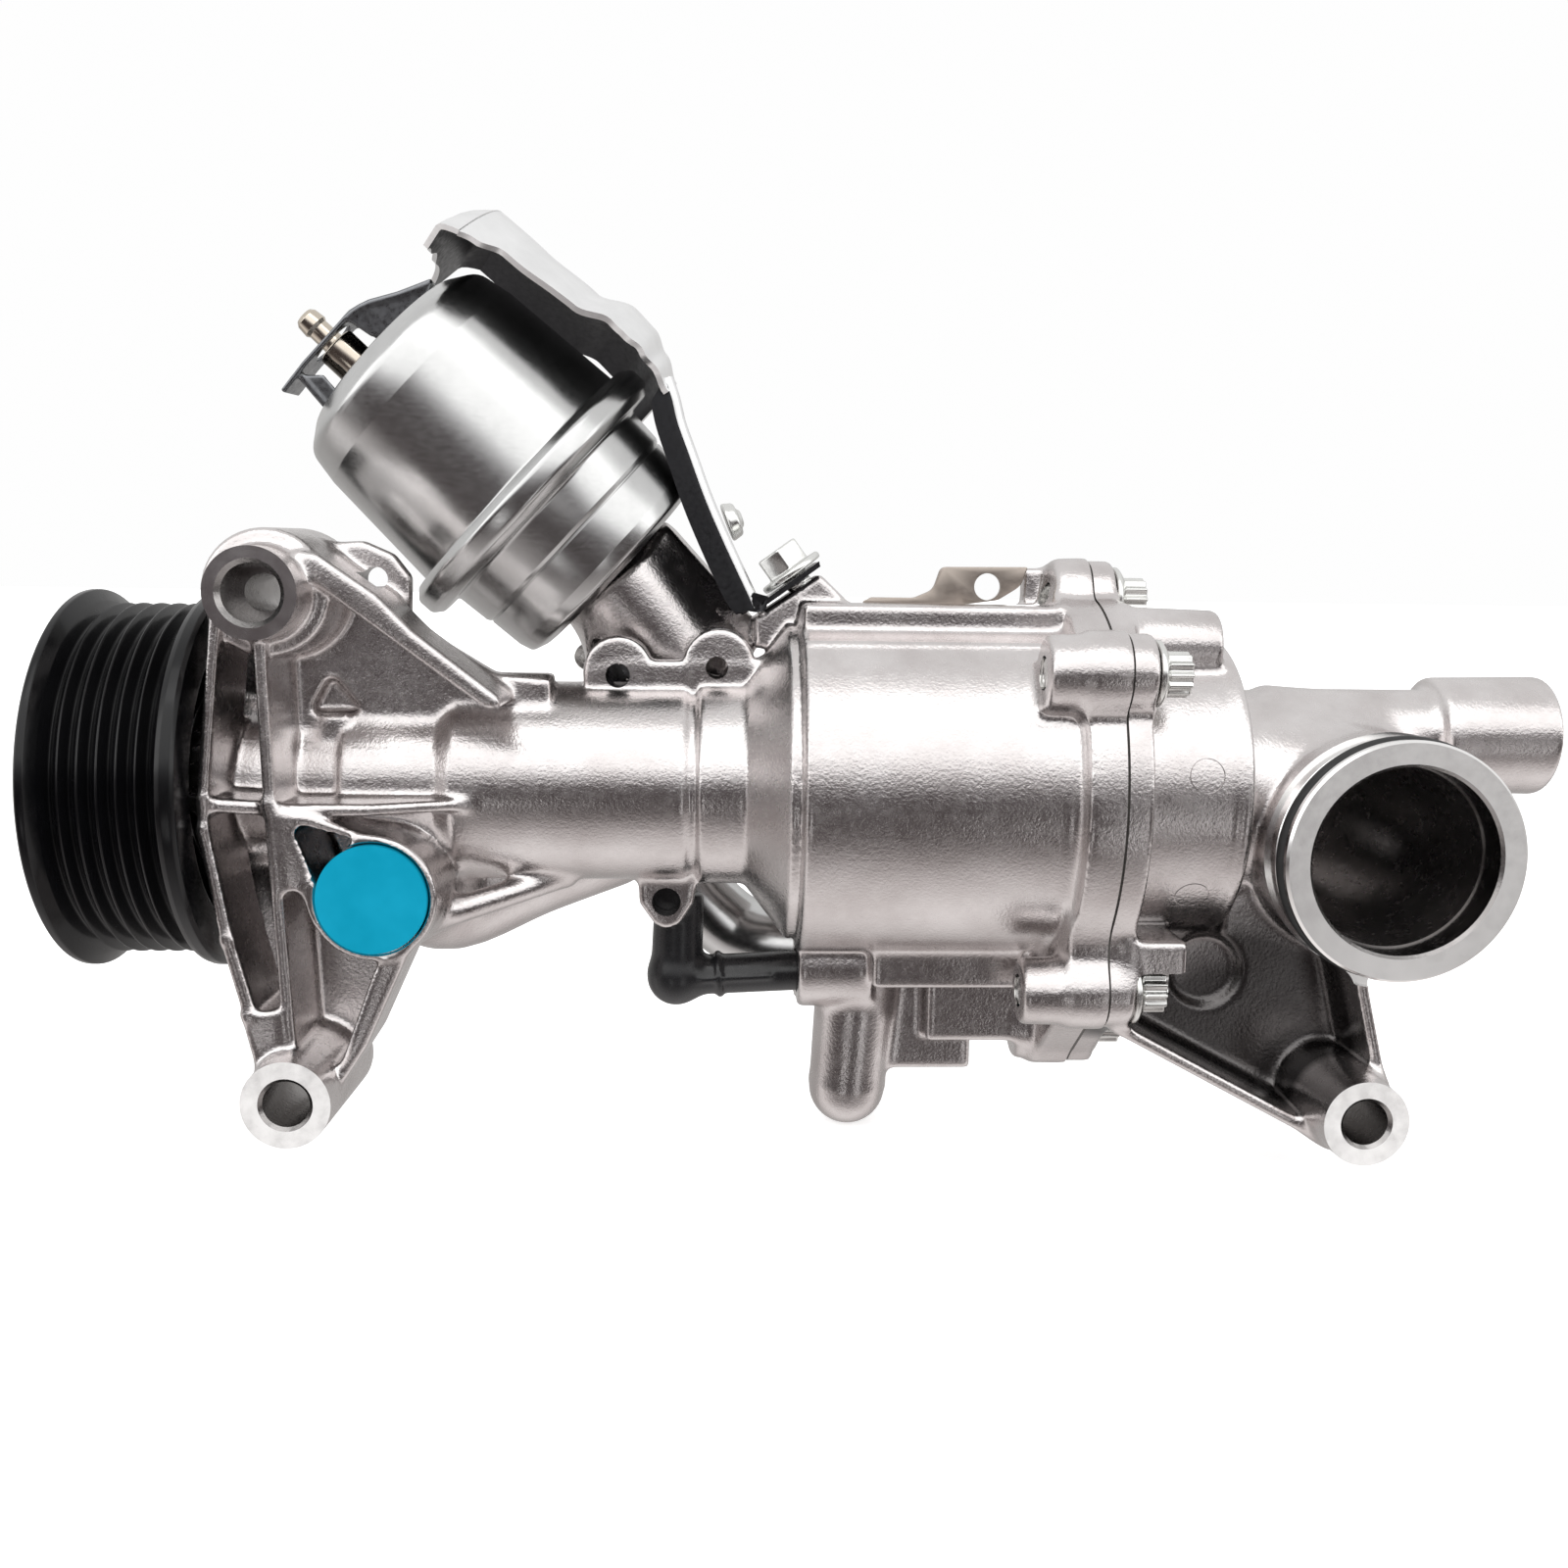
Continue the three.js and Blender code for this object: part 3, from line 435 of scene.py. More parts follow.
    def settle(self, points):
        """Moves points in grid units onto the zero surface."""
        limit = np.array(self.values.shape) - 2.01
        for _ in range(3):
            points = np.clip(points, 1, limit)
            slope = []
            for axis in range(3):
                shift = np.zeros(3)
                shift[axis] = 0.5
                slope.append(self.sample(np.clip(points + shift, 0, limit + 1))
                             - self.sample(np.clip(points - shift, 0, limit + 1)))
            slope = np.stack(slope, axis=1)
            square = np.maximum((slope ** 2).sum(axis=1), (0.3 * self.step) ** 2)
            move = -self.sample(points)[:, None] * slope / square[:, None]
            size = np.linalg.norm(move, axis=1)[:, None]
            points = points + move * np.minimum(1, 0.3 / np.maximum(size, 1e-6))
        return points


# ---- meshes ----

def link(thing):
    bpy.context.scene.collection.objects.link(thing)
    return thing


def new_piece(name, points, faces, materials=(), matrix=None):
    """A mesh object from points in millimetres."""
    mesh = bpy.data.meshes.new(name)
    points = np.asarray(points, dtype=float)
    if matrix is not None:
        turn = np.array(matrix.to_3x3())
        points = points @ turn.T + np.array(matrix.translation)
    if isinstance(faces, np.ndarray):
        mesh.vertices.add(len(points))
        mesh.vertices.foreach_set("co", (points * MM).ravel())
        mesh.loops.add(faces.size)
        mesh.loops.foreach_set("vertex_index", faces.ravel().astype(np.int32))
        mesh.polygons.add(len(faces))
        mesh.polygons.foreach_set("loop_start", np.arange(0, faces.size, faces.shape[1], dtype=np.int32))
        mesh.update(calc_edges=True)
    else:
        mesh.from_pydata((points * MM).tolist(), [], faces)
    mesh.validate()
    for material in materials:
        mesh.materials.append(material)
    return link(bpy.data.objects.new(name, mesh))


def apply(piece):
    """Bakes an object's modifiers into its mesh."""
    graph = bpy.context.evaluated_depsgraph_get()
    done = bpy.data.meshes.new_from_object(piece.evaluated_get(graph))
    old = piece.data
    piece.modifiers.clear()
    piece.data = done
    done.name = piece.name
    bpy.data.meshes.remove(old)
    return piece


def thin_out(piece, most):
    """Reduces a mesh to a number of triangles."""
    triangles = sum(len(p.vertices) - 2 for p in piece.data.polygons)
    if triangles > most:
        modifier = piece.modifiers.new("thin", "DECIMATE")
        modifier.ratio = most / triangles
        apply(piece)
    return piece


def from_field(name, field, materials, most, matrix=None):
    """A piece from a field, with at most a number of triangles."""
    field.soften()
    points, faces = field.surface()
    return thin_out(new_piece(name, points, faces, materials, matrix), most)


def with_slot(slot, *cutters):
    """Cutters whose cut faces take a given material slot."""
    for cutter in cutters:
        cutter["slot"] = slot
    return list(cutters)


def carve(piece, cutters, slot=MACHINED_SLOT):
    """Cuts tools out of a piece one after another; the cut faces take one of its material slots."""
    for i, cutter in enumerate(cutters):
        while len(cutter.data.materials) < len(piece.data.materials):
            cutter.data.materials.append(piece.data.materials[len(cutter.data.materials)])
        wanted = [cutter.get("slot", slot)] * len(cutter.data.polygons)
        cutter.data.polygons.foreach_set("material_index", wanted)
        modifier = piece.modifiers.new(f"cut{i}", "BOOLEAN")
        modifier.object = cutter
        modifier.operation = "DIFFERENCE"
        modifier.solver = "MANIFOLD"
        modifier.material_mode = "INDEX"
    apply(piece)
    for cutter in cutters:
        mesh = cutter.data
        bpy.data.objects.remove(cutter)
        bpy.data.meshes.remove(mesh)
    return piece


def rounded(points):
    """A closed outline whose corners are rounded where a point has a third value, the radius."""
    result = []
    count = len(points)
    for i, point in enumerate(points):
        corner = Vector(point[:2])
        radius = point[2] if len(point) > 2 else 0
        if not radius:
            result.append(tuple(corner))
            continue
        before = Vector(points[i - 1][:2]) - corner
        after = Vector(points[(i + 1) % count][:2]) - corner
        half = before.angle(after) / 2
        back = min(radius / math.tan(half), 0.49 * before.length, 0.49 * after.length)
        start = corner + before.normalized() * back
        end = corner + after.normalized() * back
        for k in range(CORNER_STEPS + 1):
            t = k / CORNER_STEPS
            result.append(tuple((1 - t) ** 2 * start + 2 * t * (1 - t) * corner + t * t * end))
    return result


def lathe(name, profile, materials=(), sides=96, matrix=None):
    """A closed profile of [x, radius] points turned about X; a third value rounds a corner."""
    profile = rounded(profile)
    rows = len(profile)
    points = []
    for i in range(sides):
        turn = 2 * math.pi * i / sides
        for x, r in profile:
            points.append((x, max(r, 0) * math.cos(turn), max(r, 0) * math.sin(turn)))
    faces = []
    for i in range(sides):
        for j in range(rows):
            a, b = i * rows + j, i * rows + (j + 1) % rows
            c, d = ((i + 1) % sides) * rows + (j + 1) % rows, ((i + 1) % sides) * rows + j
            faces.append((a, b, c, d))
    return cleaned(new_piece(name, points, faces, materials, matrix))


def cleaned(piece):
    """Merges doubled points, drops empty faces and turns every face outwards."""
    work = bmesh.new()
    work.from_mesh(piece.data)
    bmesh.ops.remove_doubles(work, verts=work.verts, dist=1e-7)
    bmesh.ops.dissolve_degenerate(work, edges=work.edges, dist=1e-8)
    bmesh.ops.recalc_face_normals(work, faces=work.faces)
    if work.calc_volume(signed=True) < 0:
        bmesh.ops.reverse_faces(work, faces=work.faces)
    work.to_mesh(piece.data)
    work.free()
    return piece


def about_y(x, z):
    """A lathe's frame for a line along +Y through x and z."""
    return Matrix.Translation((x, 0, z)) @ Matrix.Rotation(QUARTER, 4, "Z")


def about_x(y, z, x=0):
    return Matrix.Translation((x, y, z))


def towards(start, end):
    """A lathe's frame for the line from one point to another."""
    start, end = Vector(start), Vector(end)
    turn = (end - start).to_track_quat("X", "Z").to_matrix().to_4x4()
    return Matrix.Translation(start) @ turn


def cylinder(x0, x1, radius, sides, matrix=None, materials=()):
    """A plain round bar along X, mostly used as a cutter."""
    return lathe("cylinder", [(x0, 0), (x0, radius), (x1, radius), (x1, 0)], materials, sides, matrix)


def drill(x, z, radius, y0, y1, chamfer=0.0, sides=48):
    """A cutter for a hole along Y, with a chamfer at its first end."""
    profile = [(y0, 0), (y0, radius + chamfer), (y0 + 3, radius + chamfer), (y0 + 3 + chamfer, radius),
               (y1, radius), (y1, 0)]
    return lathe("drill", profile, [], sides, about_y(x, z))


def face_mill(x, z, radius, y):
    """A cutter that faces off everything in front of a depth."""
    return cylinder(y - 12, y, radius, 64, about_y(x, z))


def extrude(name, outline, y0, y1, materials, matrix=None, bevel=0.0):
    """A flat outline of [x, z] points between two depths, with bevelled edges."""
    outline = rounded(outline)
    count = len(outline)
    points = [(x, y, z) for y in (y0, y1) for x, z in outline]
    faces = [tuple(range(count)), tuple(range(2 * count - 1, count - 1, -1))]
    faces += [(i, count + i, count + (i + 1) % count, (i + 1) % count) for i in range(count)]
    piece = cleaned(new_piece(name, points, faces, materials, matrix))
    if bevel:
        modifier = piece.modifiers.new("bevel", "BEVEL")
        modifier.width = bevel * MM
        modifier.segments = 2
        modifier.limit_method = "ANGLE"
        modifier.angle_limit = math.radians(50)
        apply(piece)
    return piece


def pipe(name, points, radius, materials, sides=40, per_span=10, inner=None):
    """A tube along a smooth path, open and hollow when it has an inner radius."""
    path = spline(points, per_span)
    normal = (path[1] - path[0]).orthogonal().normalized()
    rings = []
    for i, point in enumerate(path):
        ahead = (path[min(i + 1, len(path) - 1)] - path[max(i - 1, 0)]).normalized()
        normal = (normal - ahead * normal.dot(ahead)).normalized()
        side = ahead.cross(normal)
        rings.append((point, normal, side))

    def ring(spot, r):
        point, u, v = spot
        return [point + r * (math.cos(2 * math.pi * k / sides) * u + math.sin(2 * math.pi * k / sides) * v)
                for k in range(sides)]
    loops = [ring(spot, radius) for spot in rings]
    if inner:
        loops += [ring(spot, inner) for spot in reversed(rings)]
        pairs = [(i, (i + 1) % len(loops)) for i in range(len(loops))]
    else:
        pairs = [(i, i + 1) for i in range(len(loops) - 1)]
    vertices = [p for loop in loops for p in loop]
    faces = [(a * sides + k, a * sides + (k + 1) % sides, b * sides + (k + 1) % sides, b * sides + k)
             for a, b in pairs for k in range(sides)]
    if not inner:
        faces += [tuple(range(sides)), tuple(range(len(vertices) - 1, len(vertices) - sides - 1, -1))]
    return cleaned(new_piece(name, vertices, faces, materials))


def joined(name, pieces):
    """One object from several meshes, without joining their surfaces."""
    work = bmesh.new()
    materials = list(pieces[0].data.materials)
    for piece in pieces:
        work.from_mesh(piece.data)
    mesh = bpy.data.meshes.new(name)
    work.to_mesh(mesh)
    work.free()
    for material in materials:
        mesh.materials.append(material)
    for piece in pieces:
        old = piece.data
        bpy.data.objects.remove(piece)
        bpy.data.meshes.remove(old)
    return link(bpy.data.objects.new(name, mesh))


def keep(piece, body, slot, *nodes, sharp=35):
    """Shades a piece, hangs it on the body it rides on and hides the CAD nodes it stands for; its slot, the
    finish, is not used.
    """
    piece.data.shade_smooth()
    piece.data.set_sharp_from_angle(angle=math.radians(sharp))
    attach(piece, body)
    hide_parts(*nodes)


# ---- materials ----

def wire(tree, node, inputs):
    """Gives a node's sockets their values, or links them to other nodes' outputs."""
    for socket, value in inputs.items():
        if isinstance(value, bpy.types.NodeSocket):
            tree.links.new(value, node.inputs[socket])
        else:
            node.inputs[socket].default_value = value
    return node


def add_node(tree, kind, inputs=None, **settings):
    """A new shader node with its inputs and settings."""
    node = tree.nodes.new("ShaderNode" + kind)
    for name, value in settings.items():
        setattr(node, name, value)
    return wire(tree, node, inputs or {})


def fill_ramp(ramp, stops):
    """Sets a color ramp's stops, as pairs of a place and a color."""
    while len(ramp.elements) < len(stops):
        ramp.elements.new(0.5)
    for element, (place, color) in zip(ramp.elements, stops):
        element.position = place
        element.color = (*color, 1)


class Surface:
    """A node-based material: a Principled shader with helpers for noise, mixing and bump."""

    def __init__(self, name, color, metallic, roughness, **sockets):
        self.material = bpy.data.materials.new(name)
        self.material.use_nodes = True
        self.tree = self.material.node_tree
        self.shader = self.tree.nodes["Principled BSDF"]
        values = {"Base Color": (*color, 1), "Metallic": metallic, "Roughness": roughness}
        values.update({socket.replace("_", " "): value for socket, value in sockets.items()})
        self.set(values)
        self.where = self.node("TexCoord").outputs["Object"]

    def node(self, kind, inputs=None, **settings):
        """A node of this material."""
        return add_node(self.tree, kind, inputs, **settings)

    def set(self, values):
        """Sets or links inputs of the Principled shader."""
        wire(self.tree, self.shader, values)

    def stretched(self, scale):
        """Object coordinates scaled along each axis."""
        return self.node("Mapping", {"Vector": self.where, "Scale": scale}).outputs[0]

    def noise(self, size, detail=3, rough=0.5, vector=None):
        """Noise whose features are about a size in millimetres."""
        return self.node("TexNoise", {"Vector": vector or self.where, "Scale": 1 / (size * MM),
                                      "Detail": detail, "Roughness": rough}).outputs["Fac"]

    def spread(self, value, low, high, from_low=0.3, from_high=0.7):
        """Maps a noise value to a range."""
        return self.node("MapRange", {"Value": value, "From Min": from_low, "From Max": from_high,
                                      "To Min": low, "To Max": high}).outputs[0]

    def colors(self, value, *stops):
        """Colors the surface by a value, between stops."""
        ramp = self.node("ValToRGB", {"Fac": value})
        fill_ramp(ramp.color_ramp, stops)
        self.set({"Base Color": ramp.outputs["Color"]})

    def roughness(self, value, low, high):
        """Varies the roughness with a value."""
        self.set({"Roughness": self.spread(value, low, high)})

    def paint_shade(self, centre, size, least):
        """Darkens the color inside a soft ellipsoid: painted shade for a deep recess that the lamps leave
        dark.
        """
        inside = self.node("Mapping", {"Vector": self.where, "Location": Vector(centre) * MM,
                                       "Scale": Vector(size) * MM}, vector_type="TEXTURE").outputs[0]
        reach = self.node("VectorMath", {0: inside}, operation="LENGTH").outputs["Value"]
        color = self.shader.inputs["Base Color"].links[0].from_socket
        dim = self.node("VectorMath", {0: color, "Scale": self.spread(reach, least, 1, 0.8, 1.15)},
                        operation="SCALE")
        self.set({"Base Color": dim.outputs[0]})

    def bump(self, *layers):
        """Bump from (height, strength, distance in millimetres) layers."""
        below = {}
        for height, strength, depth in layers:
            inputs = {"Strength": strength, "Distance": depth * MM, "Height": height, **below}
            node = self.node("Bump", inputs)
            below = {"Normal": node.outputs["Normal"]}
        self.set(below)


def cast_metal(name="cast_metal", grain=1.0, color=(0.60, 0.575, 0.57), corner=None):
    """Die-cast aluminium, with an orange-peel grain and slow changes of tone, and painted shade inside a
    given corner.
    """
    s = Surface(name, color, 1.0, 0.4)
    warm = tuple(c * k for c, k in zip(color, (0.9, 0.88, 0.875)))
    light = tuple(min(1, c * 1.12) for c in color)
    s.colors(s.noise(14, 4, 0.6), (0.3, warm), (0.7, light))
    # painted shade: the color is dimmed inside the corner's ellipsoid
    if corner:
        s.paint_shade(*corner)
    s.roughness(s.noise(2.5, 4, 0.7), 0.2, 0.3)
    s.bump((s.noise(0.6, 2, 0.6), 0.7 * grain, 0.1), (s.noise(3.2, 3, 0.6), 0.3, 0.06))
    return s.material


def machined_metal(name="machined_metal"):
    """Milled and turned aluminium, brighter than the casting, with fine tool marks."""
    s = Surface(name, (0.82, 0.81, 0.80), 1.0, 0.34)
    s.roughness(s.noise(3, 4, 0.6), 0.12, 0.2)
    s.bump((s.noise(1.0, 3, 0.6, s.stretched((2.4, 9, 2.4))), 0.15, 0.015))
    return s.material


def steel(name, color, low, high, streak=(2, 2, 2), depth=0.03):
    """Sheet or turned steel, with fine streaks along one axis."""
    s = Surface(name, color, 1.0, low)
    grain = s.noise(2, 4, 0.6, s.stretched(streak))
    s.roughness(grain, low, high)
    s.bump((grain, 0.12, depth))
    dull = tuple(c * 0.9 for c in color)
    s.colors(s.noise(9, 3, 0.6), (0.3, dull), (0.7, color))
    return s.material


def black_gloss():
    """Glossy black paint."""
    s = Surface("black_gloss", (0.002, 0.002, 0.0025), 0.0, 0.2, IOR=1.33, Coat_Weight=0.12,
                Coat_Roughness=0.08)
    s.roughness(s.noise(3, 4, 0.6), 0.14, 0.28)
    s.bump((s.noise(1.6, 3, 0.6), 0.12, 0.03))
    return s.material


def plastic(name, color, low, high, size=0.6, depth=0.02, **sockets):
    """Moulded plastic or rubber, with a faint grain."""
    s = Surface(name, color, 0.0, low, **sockets)
    s.roughness(s.noise(size * 4, 4, 0.6), low, high)
    s.bump((s.noise(size, 3, 0.6), 0.3, depth))
    pale = tuple(min(1, c * 1.15 + 0.003) for c in color)
    s.colors(s.noise(8, 3, 0.6), (0.3, color), (0.7, pale))
    return s.material


CAST = cast_metal()
# A darker copy of the cast metal for the walls of holes and water ways: painted shade in the bores.
BORE = cast_metal("bore_painted_shade", 0.5, (0.30, 0.29, 0.285))
# The cover's cast metal, with painted shade over the recessed web of its lower arm beside the inlet.
SHADED_COVER_CAST = cast_metal("cover_cast", corner=((236, -16, -49), (38, 7, 28), 0.18))
MACHINED = machined_metal()
STEEL = steel("brushed_steel", (0.56, 0.56, 0.555), 0.2, 0.27, (1, 3, 3), 0.004)
PLATED = steel("zinc_plate", (0.72, 0.72, 0.70), 0.16, 0.3, (3, 3, 3))
SHEET = steel("shield_sheet", (0.86, 0.86, 0.86), 0.28, 0.4, (2, 6, 2), 0.02)
BROWN = steel("brown_sheet", (0.40, 0.35, 0.31), 0.3, 0.42, depth=0.01)
DARK = steel("dark_steel", (0.20, 0.205, 0.215), 0.22, 0.4)
# Near-black sheet for the shield's underside, its end flap and the strap's skirt: painted shade.
SHADE = steel("shield_painted_shade", (0.045, 0.045, 0.048), 0.3, 0.5)
STEEL_WARM = steel("warm_steel", (0.58, 0.52, 0.44), 0.1, 0.2, depth=0.01)
BRASS = steel("brass", (0.62, 0.50, 0.32), 0.18, 0.34, depth=0.02)
BLACK_GLOSS = black_gloss()
RUBBER = plastic("rubber", (0.012, 0.012, 0.012), 0.5, 0.7)
BLACK_PLASTIC = plastic("black_plastic", (0.008, 0.008, 0.009), 0.2, 0.34)
BLUE = plastic("blue_plastic", (0.0, 0.205, 0.315), 0.45, 0.58, 0.5, 0.01, Specular_IOR_Level=0.05)
CARBON = plastic("carbon", (0.03, 0.03, 0.032), 0.5, 0.65)
GASKET = plastic("gasket", (0.05, 0.045, 0.04), 0.45, 0.6)


# ---- the castings ----

def joint_flange(field, x0, x1, fillet):
    """The outline that the housing and the cover share at their joint."""
    skirt = [(-31, -36), (-22, -44), (0, -61), (13, -60), (40, -30), (33, -12), (-30, -14)]
    field.add(turned([(x0, AXIS), (x0, FLANGE_RADIUS), (x1, FLANGE_RADIUS), (x1, AXIS)]), fillet)
    field.add(plate_x(skirt, x0, x1), fillet)
    for y, z, boss, _ in COVER_BOLTS.values():
        field.add(rod((x0, y, z), (x1, y, z), boss), 2.5)


def engine_boss(field, spot, back):
    """A raw boss on the engine side, down to a depth; the face mill finishes its front."""
    x, z = spot
    field.add(rod((x, BOSS_FRONT, z), (x, back, z), BOSS_RADIUS, BOSS_RADIUS + 0.7), 2.5)


def arm_plates(field):
    """The left arm's thin plates: its web, the deeper channel beside it, and the tab with a hole."""
    plate = [(41, 48), (46, 49), (54, 43), (67, 33.3), (84, 23), (95, 22), (95, 0), (77, -14), (73, -27),
             (66, -33), (57, -53), (54, -60), (44, -58), (43, -20), (41, 0)]
    channel = [(33, 42), (38, 46), (44, 46), (46, -50), (40, -52), (35, -40), (29.5, -12), (29.5, 0)]
    tab = [(48, 42), (48.7, 46.9), (51.3, 48.4), (58.5, 48.8), (64.3, 46.3), (67.6, 42), (67.3, 31)]
    field.add(plate_y(plate, *WEB_Y, 0.6), 1.5)
    field.add(plate_y(channel, *CHANNEL_Y, 0.6), 1.5)
    field.add(plate_y(tab, -12, -8, 0.6), 1)
    field.add(block(84, 95, -10, -3, 14, 22.8, 0.6), 1)


def arm_ribs(field):
    """The left arm's ribs, from the straight ones to the flat bands, the foot and the bridge by the port."""
    for start, end, thick, front in LEFT_RIBS:
        field.add(wall(start, end, thick, front, WEB_ROOT, 0.025, 0.7), 1.2)
    band = [(50, 46.5), (51, 42.2), (84.9, 17.3), (87.8, 17.8), (87.2, 19.8), (71.5, 31.9), (64.9, 38.6),
            (54.1, 46)]
    low_band = [(69.8, -29), (66, -28.5), (62.6, -33.5), (56.3, -50.6), (53.6, -54.5), (55.2, -57.5),
                (61, -48.5)]
    foot = [(36.9, -41.8), (45.6, -40.8), (47, -50), (44, -54), (39.5, -53)]
    bridge = [(44, -2), (52, -3.2), (61, -6.4), (66, -8.5), (56, -12), (52, -24), (50, -20), (48.6, -17.8),
              (44.6, -18.4)]
    field.add(plate_y(band, RIB_Y, WEB_ROOT, 0.6), 1.2)
    field.add(plate_y(low_band, RIB_Y, WEB_ROOT, 0.7), 1.2)
    field.add(plate_y(foot, RIB_Y, -3, 0.8), 1.5)
    field.add(plate_y(bridge, RIB_Y, WEB_ROOT, 0.6), 1.2)


def port_tower(field):
    """The discharge port's round wall, the level rib over it and the saddle that joins it to the neck."""
    x, z = PORT
    field.add(rod((x, PORT_FACE, z), (x, 4, z), 12.2, 13.4), 1.5)
    level_rib = plate_y([(43.5, 29), (62, 29), (81, 20.2), (81, 12), (43.5, 12)], -3.4, -1, 0.7)
    field.add(placed(level_rib, Matrix.Rotation(QUARTER, 4, "X")), 1.2)
    field.add(rod((70, -21, -25.5), (98, -6, -19), 3, 2.4), 3)


def left_arm(field):
    """The arm that holds the pulley end on the engine, with the discharge port."""
    arm_plates(field)
    engine_boss(field, UPPER_LEFT, 2)
    x, z = UPPER_LEFT
    field.add(rod((x, -28, z), (x, -2, z), 12, 12.6, 1), 2)
    engine_boss(field, LOWER_LEFT, -4)
    arm_ribs(field)
    port_tower(field)


def tower(field):
    """The tower under the vacuum can, with the two lobes at its foot and the wedge under the strap."""
    side = [(24.5, 15.5), (53, 13), (60, 4), (50, -26), (33.7, -19.5), (24.5, -8)]
    field.add(placed(plate_y(side, -4, 16, 1.5), CAN), 2)
    field.add(placed(rod((24.5, 5, 0), (54, 5, -4), 14.6, 16.5, 1), CAN), 4)
    for x, z, radius in ((108, 23.6, 7), (128.6, 25, 7.3)):
        field.add(rod((x, LOBE_Y[0], z), (x, 2, z), radius, None, 0.7), 0.8)
    lobes = [(101, 12), (101, 23.6), (108, 25.7), (128.6, 25.7), (135.6, 25.6), (145, 31.2), (146, 28),
             (134.6, 21.8), (134, 12)]
    field.add(plate_y(lobes, *LOBE_Y, 0.7), 0.8)
    wedge = [(136, 34.6), (149.5, 43.6), (157, 36.5), (150, 28), (136, 28)]
    field.add(plate_y(wedge, 0, 14, 0.8), 1)


def tower_rooms(field):
    """The room for the rod and the valve, which leaves the neck's wall whole."""
    room = [(30.3, 9.3), (52, 9.3), (54, 0), (49, -20), (36, -20), (30.3, -14)]
    core = turned([(80, AXIS), (80, 18.8), (150, 18.8), (150, AXIS)])
    inside = placed(plate_y(room, -5.2, 17, 0.4), CAN)

    def distance(x, y, z):
        return np.maximum(inside.distance(x, y, z), -core.distance(x, y, z))
    field.cut(Solid(distance, inside.low, inside.high))


def chamber_pads(field):
    """The chamber's raised pads, low pocket, blocks and bolt bosses, and the lug under the neck."""
    field.add(block(145.5, 197, -14.5, 13, 20, 37.6, 0.9), 1)
    field.add(block(145.5, 197, -20, 20, 16, 30.6, 0.9), 1)
    field.add(rod((161, 8, -25), (157.8, 8, -69.5), 9.4, 8.4, 1), 3)
    field.add(ball((157.8, 8, -69.5), 8.4), 1)
    for y, radius in ((5, 10), (18, 12)):
        field.add(rod((146, y, -40), (162, y, -40), radius, None, 1), 2)
    field.add(block(161, 192, -13, 14, -41.5, -24, 1), 2)
    field.add(block(193, 204, 5, 9, 34, 45.4, 0.8), 1)
    field.add(block(165.5, 185, 5, 27, -65, -20, 1.5), 2)
    field.add(block(174, 199, -2, 24, -56.5, -20, 1.5), 2)
    lug = [(112, -14), (112.3, -25), (115.5, -29.5), (118, -30.6), (120.8, -29.5), (123.7, -25), (125, -14)]
    field.add(plate_y(lug, -7, -1.5, 1), 2)
    for y, z, boss, start in COVER_BOLTS.values():
        field.add(rod((start, y, z), (HOUSING_FACE, y, z), boss - 0.4, boss, 1), 3)


def arm_pockets(field):
    """The small strap and triangle in the left arm's web, and the teardrop opening beside the port."""
    strap = [(50, 16), (56, 16), (54.2, 8), (49, 8)]
    triangle = [(47.9, 15.8), (51, 21.5), (52.6, 21.5), (57.2, 15.8), (56, 14.8), (49, 14.8)]
    teardrop = [(48.5, -6.4), (49.8, -5), (59.6, -7.6), (56, -11.5), (52.6, -17)]
    field.add(plate_y(strap, -14, -10, 0.6), 0.8)
    field.cut(plate_y(triangle, -16, -9.8, 1), 0.8)
    field.cut(plate_y(teardrop, RIB_Y - 3, -9, 0.8), 0.6)


